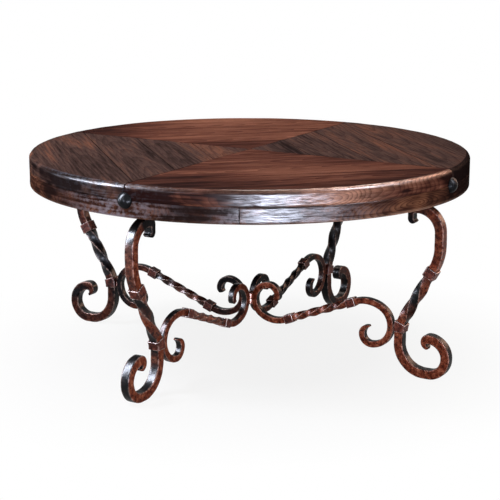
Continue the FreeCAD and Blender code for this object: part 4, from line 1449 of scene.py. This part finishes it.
            # Darker towards the table's edge and towards both joints.
            near = 0.07 * climb(u, 330, 100)
            return clouds - near - 0.17 * climb(v, -40, -200) - 0.1 * bell(v, 250, 120)
        if side is Side.BACK:
            # Strong clouds, darker towards one joint and near the middle of the table.
            return 2 * clouds + 0.12 - 0.28 * climb(v, 30, 240) - 0.2 * bell(u, 60, 90)
        if side is Side.LEFT:
            # Paler near the middle of the table.
            return clouds + 0.015 + 0.3 * bell(u, 90, 60)
        # The right wedge is paler, apart from a dark band across it.
        return clouds + 0.09 - 0.14 * bell(u, 150, 110)

    def _blotches(self, turn: np.ndarray, level: np.ndarray, seed: int) -> np.ndarray:
        """Uneven stain on the table's edge: smooth noise by turn and height.

        Args:
            turn: Turn of each point about the table's axis, in degrees.
            level: Height of each point, in millimetres.
            seed: Seed of the blotches.

        Returns:
            What is added to the tone of the wood, by point.
        """
        # Degrees round and millimetres up from one blotch to the next.
        apart, above = 2.6, 13.0
        return self.edge_blotch * (2 * soft_noise(turn / apart, level / above, seed + 8) - 1)

    def _inner_profile(self, width: float) -> Profile:
        """Outline across an inner board: up one edge, over the top with eased corners, and down the other.

        Args:
            width: Width of the board.

        Returns:
            Share of the width, inset from the table's edge, drop below the top, and wear.
        """
        lip = self.ease / width
        thick = self.height - self.seam
        flat = np.linspace(0, 1, self.across_steps)[1:-1]
        share = np.concatenate([[0, 0, 0.3 * lip, lip, 3 * lip], flat,
                                [1 - 3 * lip, 1 - lip, 1 - 0.3 * lip, 1, 1]])
        drop = np.concatenate([[thick, self.ease, 0.3 * self.ease, 0, 0], 0 * flat,
                               [0, 0, 0.3 * self.ease, self.ease, thick]])
        return share, np.zeros(len(share)), drop, np.zeros(len(share))

    def _outer_profile(self) -> Profile:
        """Outline across the outermost board: as an inner one, with a quarter round at the table's edge.

        Returns:
            Share of the width, inset from the table's edge, drop below the top, and wear.
        """
        thick = self.height - self.seam
        r = self.edge_round
        flat = np.linspace(0, 1, self.across_steps)[1:]
        angle = np.radians(np.linspace(90, 0, 9))
        over_inset, over_drop = r - r * np.cos(angle), r - r * np.sin(angle)
        side_drop = np.linspace(r, thick - 1.0, 8)[1:]
        share = np.concatenate([[0, 0, 0.002, 0.006], flat, np.ones(len(angle) + len(side_drop) + 2)])
        inset = np.concatenate([np.full(4 + len(flat), r + 2), over_inset, np.zeros(len(side_drop)),
                                [0.5, 0.8]])
        drop = np.concatenate([[thick, self.ease, 0.3 * self.ease, 0], 0 * flat, over_drop, side_drop,
                               [thick - 0.3, thick]])
        worn = np.zeros(len(share))
        first = 4 + len(flat)
        worn[first:first + len(angle)] = bell(np.linspace(-1, 1, len(angle)), 0.0, 0.62)
        return share, inset, drop, worn

    def _rim_segment(self, side: Side) -> Surface:
        """One rim segment: its outline in reach and height, carried through a quarter turn.

        Args:
            side: The leg that the segment lies over.

        Returns:
            The closed segment.
        """
        seed = 700 + side.number
        rng = np.random.default_rng(seed)
        ease = self.rim_ease
        # The outline goes down the bore, along the sole, round the lower arris, and up the face.
        corner = np.radians(np.linspace(-90, 0, 6))
        bore = self.radius - self.rim_width
        face = np.linspace(self.under + ease, self.seam - 1.2, 9)[1:]
        sole = np.linspace(bore, self.radius - ease, 6)[:-1]
        reaches = np.concatenate([[bore], sole, self.radius - ease + ease * np.cos(corner),
                                  np.full(len(face), self.radius),
                                  [self.radius - 0.5, self.radius - 1.0]])[None, :]
        levels = np.concatenate([[self.seam], np.full(len(sole), self.under),
                                 self.under + ease + ease * np.sin(corner), face,
                                 [self.seam - 0.4, self.seam]])[None, :]
        # Stations lie close together at both ends, where the butt joint is eased.
        tight, quarter = self.gap / self.radius, math.pi / 2
        first = np.radians(side.angle + self.rim_joint - 90)
        turn = first + np.concatenate(
            [[tight, tight + 0.001],
             np.linspace(tight + 0.003, quarter - tight - 0.003, self.along_steps),
             [quarter - tight - 0.001, quarter - tight]])[:, None]
        eased = np.concatenate([[0.5, 0.1], np.zeros(self.along_steps), [0.1, 0.5]])[:, None]
        degrees = np.degrees(turn)
        outer = climb(reaches, self.radius - 6, 6)
        # Degrees round and millimetres up from one wave of the face to the next.
        apart, above = 3.1, 30.0
        dip = self.rim_wave * soft_noise(degrees / apart, levels / above, seed)
        reach = reaches - outer * (dip + eased)
        level = np.broadcast_to(levels, reach.shape)
        grid = np.stack([reach * np.cos(turn), reach * np.sin(turn), level], -1)
        middle = math.radians(side.angle + self.rim_joint - 45)
        along = np.broadcast_to(self.radius * (turn - middle), reach.shape)
        place = np.stack([along, level, reach - self.radius], -1)
        in_log = self._edge_log(place, (self.under + self.seam) / 2, seed)
        arris = bell(levels, self.under + 2, 3.0) * outer
        layers = Course.RIM.value.layers(degrees, outer, arris, self.height - level)
        joint = eased > 0
        tone = rng.uniform(-0.06, 0.02) - self.joint_stain * joint
        layers["tone"] = layers["tone"] + tone + outer * self._blotches(degrees, level, seed)
        layers["polish"] = layers["polish"] * (1 - joint)
        layers.update(grain=place * MM + rng.uniform(0, 6, 3), log=in_log)
        return tube(grid, layers)


@dataclass(frozen=True)
class Stud:
    """A hammered stud head on the rim: a low dome cut by the flats of a hammer."""

    diameter: float = 37.0
    rise: float = 13.0
    rim_radius: float = Top.radius
    level: float = Top.seam
    seat: float = 1.2
    flats: int = 34
    # Depth of the flats, as shares of the dome's radius, and the gloss that wax gives the head.
    flat_depth: tuple[float, float] = (0.984, 1.0)
    wax_share: float = 0.09

    def make(self, side: Side, finish: bpy.types.Material) -> None:
        """Build one stud head.

        The dome is a cap of a sphere, point = R (cos a, sin a cos b, sin a sin b). Each flat has a
        direction spread evenly over the cap, and a point that stands past a flat is drawn back to it.

        Args:
            side: The leg that the stud stands over.
            finish: Blackened iron.
        """
        rng = np.random.default_rng(900 + side.number)
        half = self.diameter / 2
        ball = (half ** 2 + self.rise ** 2) / (2 * self.rise)
        brim = math.acos((ball - self.rise) / ball)
        tilt = np.linspace(0.02, brim, 22)[:, None]
        spin = np.linspace(0, 2 * math.pi, 57)[None, :-1]
        ray = np.stack([np.cos(tilt) + 0 * spin, np.sin(tilt) * np.cos(spin),
                        np.sin(tilt) * np.sin(spin)], -1)
        # A golden spiral spreads the flats evenly, to a little past the brim.
        index = np.arange(self.flats)
        flat_tilt = np.arccos(1 - (1 - math.cos(brim * 1.05)) * (index + 0.5) / self.flats)
        flat_spin = index * math.pi * (3 - math.sqrt(5)) + rng.uniform(0, 0.5, self.flats)
        normal = np.stack([np.cos(flat_tilt), np.sin(flat_tilt) * np.cos(flat_spin),
                           np.sin(flat_tilt) * np.sin(flat_spin)], -1)
        depth = ball * rng.uniform(*self.flat_depth, self.flats)
        facing = np.maximum(ray @ normal.T, 0.2)
        reach = np.minimum(ball, (depth / facing).min(-1))
        dome = ray * reach[..., None] - [ball - self.rise, 0, 0]
        back = dome[-1].copy()
        back[:, 0] = -self.seat
        grid = np.concatenate([dome, back[None]]) + [self.rim_radius, 0, self.level]
        zeros = np.zeros(grid.shape[:2])
        head = tube(grid, {"arris": zeros, "dark": zeros + 1.0,
                           "burnish": zeros + self.wax_share * side.wax ** 2})
        add_piece(f"hammered_stud_{side.value}", head.turned(side.angle), finish,
                  [f"stud_{side.value}"])


@dataclass(frozen=True)
class Welds:
    """The weld beads: a column between the inner scrolls, and one behind each stretcher's outer scroll."""

    middle: float = Stretcher.hub_height
    tall: float = 33.0
    spread: float = 13.2
    bead: float = 5.5
    collar_reach: float = 399.2
    collar_level: float = 112.5
    collar_half_height: float = 7.0
    collar_half_width: float = 7.6
    collar_half_depth: float = 2.6
    # Power n of the column's rounded square, depths of its ripples and lumps, and gloss of the metal.
    squareness: int = 6
    ripple: float = 0.75
    lump: float = 0.8
    shine: float = 0.6

    def make(self, finish: bpy.types.Material) -> None:
        """Build the beads.

        The column's radius is a rounded square, spread / (|cos a|^n + |sin a|^n)^(1/n), with ripples up
        its height. A collar bead is a flattened ball with ripples along its length.

        Args:
            finish: Weld metal.
        """
        rise = np.linspace(-1, 1, 45)[:, None]
        spin = np.linspace(0, 2 * math.pi, 49)[None, :-1]
        power = self.squareness
        both = np.abs(np.cos(spin)) ** power + np.abs(np.sin(spin)) ** power
        square = self.spread / both ** (1 / power)
        beads_up = rise * self.tall / 2 / self.bead
        ripple = self.ripple * np.abs(np.sin(beads_up * math.pi + 0.7 * np.sin(2 * spin)))
        lumps = self.lump * soft_noise(spin * 3, rise * 4 + 9, 41)
        ends = np.sqrt(np.clip(1 - np.abs(rise) ** 10, 0.06, 1))
        radius = (square - ripple - lumps) * ends
        grid = np.stack([radius * np.cos(spin), radius * np.sin(spin),
                         np.broadcast_to(self.middle + rise * self.tall / 2, radius.shape)], -1)
        zeros = np.zeros(grid.shape[:2])
        column = tube(grid, {"arris": zeros, "dark": zeros, "burnish": zeros + self.shine})
        add_piece("weld_column", column, finish, ["centre_weld"])
        beads = joined([self._collar_bead(side) for side in Side])
        add_piece("weld_beads", beads, finish, ["collar_welds"])

    def _collar_bead(self, side: Side) -> Surface:
        """One bead between a stretcher's back and a lower leg collar: a ball flattened along its reach.

        Args:
            side: The leg that it stands at.

        Returns:
            The closed bead.
        """
        tilt = np.linspace(0.05, math.pi - 0.05, 25)[:, None]
        spin = np.linspace(0, 2 * math.pi, 33)[None, :-1]
        # Depth of the ripples as a share of the bead, their rate, and the power that fills out its sides.
        ripple, rate, fullness = 0.12, 4.5, 0.6
        swell = 1 - ripple * np.abs(np.sin(rate * tilt))
        grid = np.stack([self.collar_reach + self.collar_half_depth * swell * np.sin(tilt) * np.cos(spin),
                         self.collar_half_width * swell * np.sin(tilt) ** fullness * np.sin(spin),
                         self.collar_level - self.collar_half_height * np.cos(tilt) + 0 * spin], -1)
        zeros = np.zeros(grid.shape[:2])
        bead = tube(grid, {"arris": zeros, "dark": zeros, "burnish": zeros + self.shine})
        return bead.turned(side.angle)


@dataclass(frozen=True)
class Lamp:
    """An area lamp that faces the table's edge, given in degrees, metres and watts."""

    name: str
    # Round from the camera to its left, and up from the rim.
    left: float
    elevation: float
    distance: float
    size: tuple[float, float]
    power: float
    colour: str
    # Whether it shows in reflections without adding to the light on the table.
    gloss_only: bool = False
    aim: float = 0.44

    def make(self, front: float) -> None:
        """Put the lamp in its place.

        It stands at the aim plus its distance times (cos e cos a, cos e sin a, sin e), where a is its
        azimuth and e its elevation, and looks back at the aim.

        Args:
            front: Azimuth of the camera, in degrees.
        """
        lamp = bpy.data.lights.new(self.name, "AREA")
        lamp.shape = "RECTANGLE"
        lamp.size, lamp.size_y = self.size
        lamp.energy = self.power
        lamp.color = linear(self.colour)[:3]
        azimuth, rise = math.radians(front - self.left), math.radians(self.elevation)
        level = math.cos(rise)
        away = Vector((math.cos(azimuth) * level, math.sin(azimuth) * level, math.sin(rise)))
        box = bpy.data.objects.new(self.name, lamp)
        box.location = Vector((0.0, 0.0, self.aim)) + away * self.distance
        box.rotation_mode = "QUATERNION"
        box.rotation_quaternion = (-away).to_track_quat("-Z", "Y")
        box.visible_camera = False
        box.visible_diffuse = not self.gloss_only
        bpy.context.scene.collection.objects.link(box)


# A key at the upper left, a box overhead and a low panel in front light the table.
LAMPS = (
    Lamp("key_box", 73.0, 45.0, 2.6, (0.6, 0.9), 42.0, "#eef2ff"),
    Lamp("sky_box", 180.0, 76.0, 2.6, (1.8, 0.6), 25.0, "#fff2e6"),
    Lamp("front_panel", -15.0, -9.0, 1.9, (1.1, 0.25), 9.0, "#eef2ff"),
)
# Cards that only gloss sees, for the highlights on the bars, the top's round edge, the studs and the rim.
CARDS = (
    Lamp("key_card", 73.0, 33.0, 2.5, (0.7, 2.7), 900.0, "#e6eeff", gloss_only=True),
    Lamp("edge_card", 200.0, 64.0, 2.5, (2.6, 0.9), 230.0, "#fff0e4", gloss_only=True),
    Lamp("side_card", -60.0, 35.0, 2.5, (0.8, 1.6), 250.0, "#eef2ff", gloss_only=True),
    Lamp("lip_card", -118.0, 25.0, 2.5, (0.9, 1.8), 90.0, "#ffc9aa", gloss_only=True),
    Lamp("near_card", 30.0, 2.0, 2.2, (0.45, 0.5), 45.0, "#dfe8ff", gloss_only=True),
    Lamp("far_card", 92.0, 1.0, 2.2, (0.5, 0.5), 45.0, "#dfe8ff", gloss_only=True),
    Lamp("rim_card", -16.0, -9.0, 1.85, (1.35, 0.26), 95.0, "#dfe8ff", gloss_only=True),
)


@dataclass(frozen=True)
class Studio:
    """Floor, lamps, world and the camera of the photograph. Lengths are in metres."""

    frame_px: float = 500.0
    focal_px: float = 1553.44
    sensor: float = 36.0
    distance: float = 3.7457
    eye: float = 1.1261
    turn: float = 30.354
    yaw: float = 0.0004
    pitch: float = 0.2293
    roll: float = 0.0026
    floor_half: float = 30.0
    shadow_share: float = 0.14
    shadow_reach: tuple[float, float] = (0.3, 0.85)
    fill: float = 0.25

    def make(self) -> None:
        """Set up the stage: the view's colours, the camera, the floor, the world and the lamps."""
        bpy.context.scene.view_settings.view_transform = "Standard"
        self._camera()
        self._floor()
        self._world()
        for lamp in (*LAMPS, *CARDS):
            lamp.make(self.turn - 90)

    def _camera(self) -> None:
        """The photograph's camera, at its distance and height and turned round the table.

        It looks along (sin y cos p, cos y cos p, -sin p) for its yaw y and pitch p, and is then rolled. Its
        focal length in pixels is scaled to the sensor.
        """
        turn = Matrix.Rotation(math.radians(self.turn), 3, "Z")
        flat = math.cos(self.pitch)
        ahead = Vector((math.sin(self.yaw) * flat, math.cos(self.yaw) * flat, -math.sin(self.pitch)))
        level = Vector((math.cos(self.yaw), -math.sin(self.yaw), 0.0))
        upper = level.cross(ahead)
        right = level * math.cos(self.roll) + upper * math.sin(self.roll)
        above = upper * math.cos(self.roll) - level * math.sin(self.roll)
        axes = Matrix((turn @ right, turn @ above, turn @ -ahead)).transposed()
        camera = bpy.data.cameras.new("camera")
        camera.sensor_width = self.sensor
        camera.lens = self.focal_px * self.sensor / self.frame_px
        camera.clip_end = 200.0
        eye = bpy.data.objects.new("camera", camera)
        place = turn @ Vector((0.0, -self.distance, self.eye))
        eye.matrix_world = Matrix.Translation(place) @ axes.to_4x4()
        bpy.context.scene.collection.objects.link(eye)
        bpy.context.scene.camera = eye

    def _floor(self) -> None:
        """A wide white floor that shows white to the camera and to gloss, and keeps a soft shadow.

        White paper has no gloss. Its own light and shade are mixed in near the table, by the shadow's
        share, and fade out over the shadow's reach.
        """
        h = self.floor_half
        mesh = bpy.data.meshes.new("floor")
        mesh.from_pydata([(-h, -h, 0), (h, -h, 0), (h, h, 0), (-h, h, 0)], [], [[0, 1, 2, 3]])
        material, tree, shader = new_material("white_paper")
        shader.inputs["Base Color"].default_value = linear("#f2f1ef")
        shader.inputs["Roughness"].default_value = 0.9
        shader.inputs["Specular IOR Level"].default_value = 0.0
        seen = self._seen(tree)
        glow = add_node(tree, "ShaderNodeEmission", {"Color": (1.0, 1.0, 1.0, 1.0), "Strength": 1.0})
        place = add_node(tree, "ShaderNodeTexCoord").outputs["Object"]
        away = add_node(tree, "ShaderNodeVectorMath", {0: place}, operation="LENGTH").outputs["Value"]
        plain = add_node(tree, "ShaderNodeMapRange",
                         (away, *self.shadow_reach, 1 - self.shadow_share, 1.0)).outputs[0]
        share = add_node(tree, "ShaderNodeMath", (seen, plain), operation="MULTIPLY")
        mix = add_node(tree, "ShaderNodeMixShader", (share.outputs[0], shader.outputs[0], glow.outputs[0]))
        output = next(node for node in tree.nodes if node.type == "OUTPUT_MATERIAL")
        tree.links.new(mix.outputs[0], output.inputs["Surface"])
        mesh.materials.append(material)
        floor = bpy.data.objects.new("floor", mesh)
        bpy.context.scene.collection.objects.link(floor)

    @staticmethod
    def _seen(tree: bpy.types.NodeTree) -> bpy.types.NodeSocket:
        """Tell seen rays from lighting ones.

        Args:
            tree: Node tree of the floor or the world.

        Returns:
            One for rays from the camera, off gloss or through glass, and zero for diffuse light.
        """
        path = add_node(tree, "ShaderNodeLightPath").outputs
        seen = path["Is Camera Ray"]
        for ray in ("Is Glossy Ray", "Is Transmission Ray"):
            seen = add_node(tree, "ShaderNodeMath", (seen, path[ray]), operation="MAXIMUM").outputs[0]
        return seen

    def _world(self) -> None:
        """White where it is seen, and a grey fill for diffuse light."""
        world = bpy.data.worlds.new("studio")
        bpy.context.scene.world = world
        world.use_nodes = True
        tree = world.node_tree
        ground = next(node for node in tree.nodes if node.type == "BACKGROUND")
        ground.inputs["Color"].default_value = (1.0, 1.0, 1.0, 1.0)
        strength = add_node(tree, "ShaderNodeMapRange", {0: self._seen(tree), 3: self.fill, 4: 1.0})
        tree.links.new(strength.outputs[0], ground.inputs["Strength"])


def finishes() -> dict[str, bpy.types.Material]:
    """All finishes of the table.

    Returns:
        Materials by a short name.
    """
    # Walnut, planed, stained warm and waxed: red-brown streaks, and pinkish rubbed wood on the lip,
    # which is partly a painted highlight.
    warm = WoodFinish("stained_walnut_warm", dark="#2b1715", middle="#6a3f32", light="#9b6550",
                      pore="#22110f", worn="#dca287", scuff_and_sheen="#757b8a", streak=(170.0, 6.5), ring=3.6)
    # The same under a dark stain: brown-black streaks with warmer patches, and little wear or gloss.
    dark = WoodFinish("stained_walnut_dark", dark="#241918", middle="#553f39", light="#855440",
                      pore="#1c1212", worn="#8f746a", scuff_and_sheen="#757b8a", streak=(150.0, 6.0),
                      streak_share=0.5, figure_share=0.5, ring_share=0.4)
    # Walnut sawn to a curve: rings that open into arches, grey scuffed wax that is partly a painted sheen,
    # and bright rubbed wax.
    rim = WoodFinish("stained_walnut_rim", dark="#261714", middle="#563529", light="#865740",
                     pore="#1b0e0b", worn="#a5765a", scuff_and_sheen="#8c8188", ring=3.6, ring_share=0.75,
                     scuff_and_sheen_limits=(0.92, 1.18))
    # Pine as it left the saw, without wax: a dull, even brown.
    batten = WoodFinish("sawn_pine_batten", dark="#3f241a", middle="#6a4433", light="#8c644e",
                        pore="#33190f", worn="#b59a76", scuff_and_sheen="#8a8070", source=GrainSource.OBJECT)
    # Mild steel from the forge, rusted and waxed: mottled red-brown, black fire scale that is partly
    # painted shade and dark reflection, and pale arrises.
    iron = IronFinish("forged_steel_rust", rust=("#43190f", "#72341f", "#9c5c42"),
                      scale=("#050507", "#1a1110"), spot="#140a08", arris="#c7a597")
    # Strip steel wrapped hot and rusted: a duller plum brown with edges rubbed bright.
    collar = IronFinish("forged_steel_collar", rust=("#3b170f", "#58261b", "#763c2e"),
                        scale=("#1a1012", "#3b211d"), spot="#1c0d0b", arris="#d3b8ae", arris_share=1.0)
    # Hammered steel, blackened: near black, with small sharp lights on its flats.
    black = IronFinish("blackened_steel_stud", rust=("#08080a", "#101013", "#191719"),
                       scale=("#060608", "#121115"), spot="#040405", arris="#3a3a42", gloss=0.03,
                       wax_roughness=0.11, metallic=0.0, relief=0.3)
    # Weld metal as it set: pale and pinkish, with a metal's shine on its ripples.
    weld = IronFinish("weld_bead_steel", rust=("#7a4f44", "#a97c70", "#d8b9ad"),
                      scale=("#7a4f44", "#a97c70"), spot="#5a352c", arris="#d8b9ad", roughness=(0.25, 0.4),
                      metallic=0.7)
    # Turned steel, zinc plated: a plain light grey metal.
    screw = IronFinish("zinc_plated_screw", rust=("#6e6c68", "#8d8b86", "#a8a6a0"),
                       scale=("#6e6c68", "#8d8b86"), spot="#55534f", arris="#b5b3ad", metallic=1.0)
    kinds = {"warm": warm, "dark": dark, "rim": rim, "batten": batten, "iron": iron, "collar": collar,
             "black": black, "weld": weld, "screw": screw}
    return {key: kind.build() for key, kind in kinds.items()}


def dress_hardware(nodes: dict[str, bpy.types.Object], materials: dict[str, bpy.types.Material]) -> None:
    """Give the CAD solids that stay in view their finishes.

    Args:
        nodes: CAD objects by name.
        materials: Finishes by short name.
    """
    kinds = {"batten_long": "batten", "batten_cross": "batten", "batten_screws": "screw",
             "plate_screws": "screw"}
    kinds.update({f"mounting_plate_{side.value}": "iron" for side in Side})
    for name, kind in kinds.items():
        mesh = nodes[name].data
        mesh.materials.clear()
        mesh.materials.append(materials[kind])
        logger.info("%s: dressed in %s", name, materials[kind].name)


def main() -> None:
    """Load the frame, build and dress every piece in order, and set up the stage.
    """
    logging.basicConfig(level=logging.INFO, format="%(name)s: %(message)s")
    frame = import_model()
    materials = finishes()
    Top().make(materials["warm"], materials["dark"], materials["rim"])
    for side in Side:
        Leg().make(side, materials["iron"], materials["collar"])
        Stretcher().make(side, materials["iron"], materials["collar"])
        Stud().make(side, materials["black"])
    Welds().make(materials["weld"])
    dress_hardware(frame["nodes"], materials)
    Studio().make()


if __name__ == "__main__":
    main()
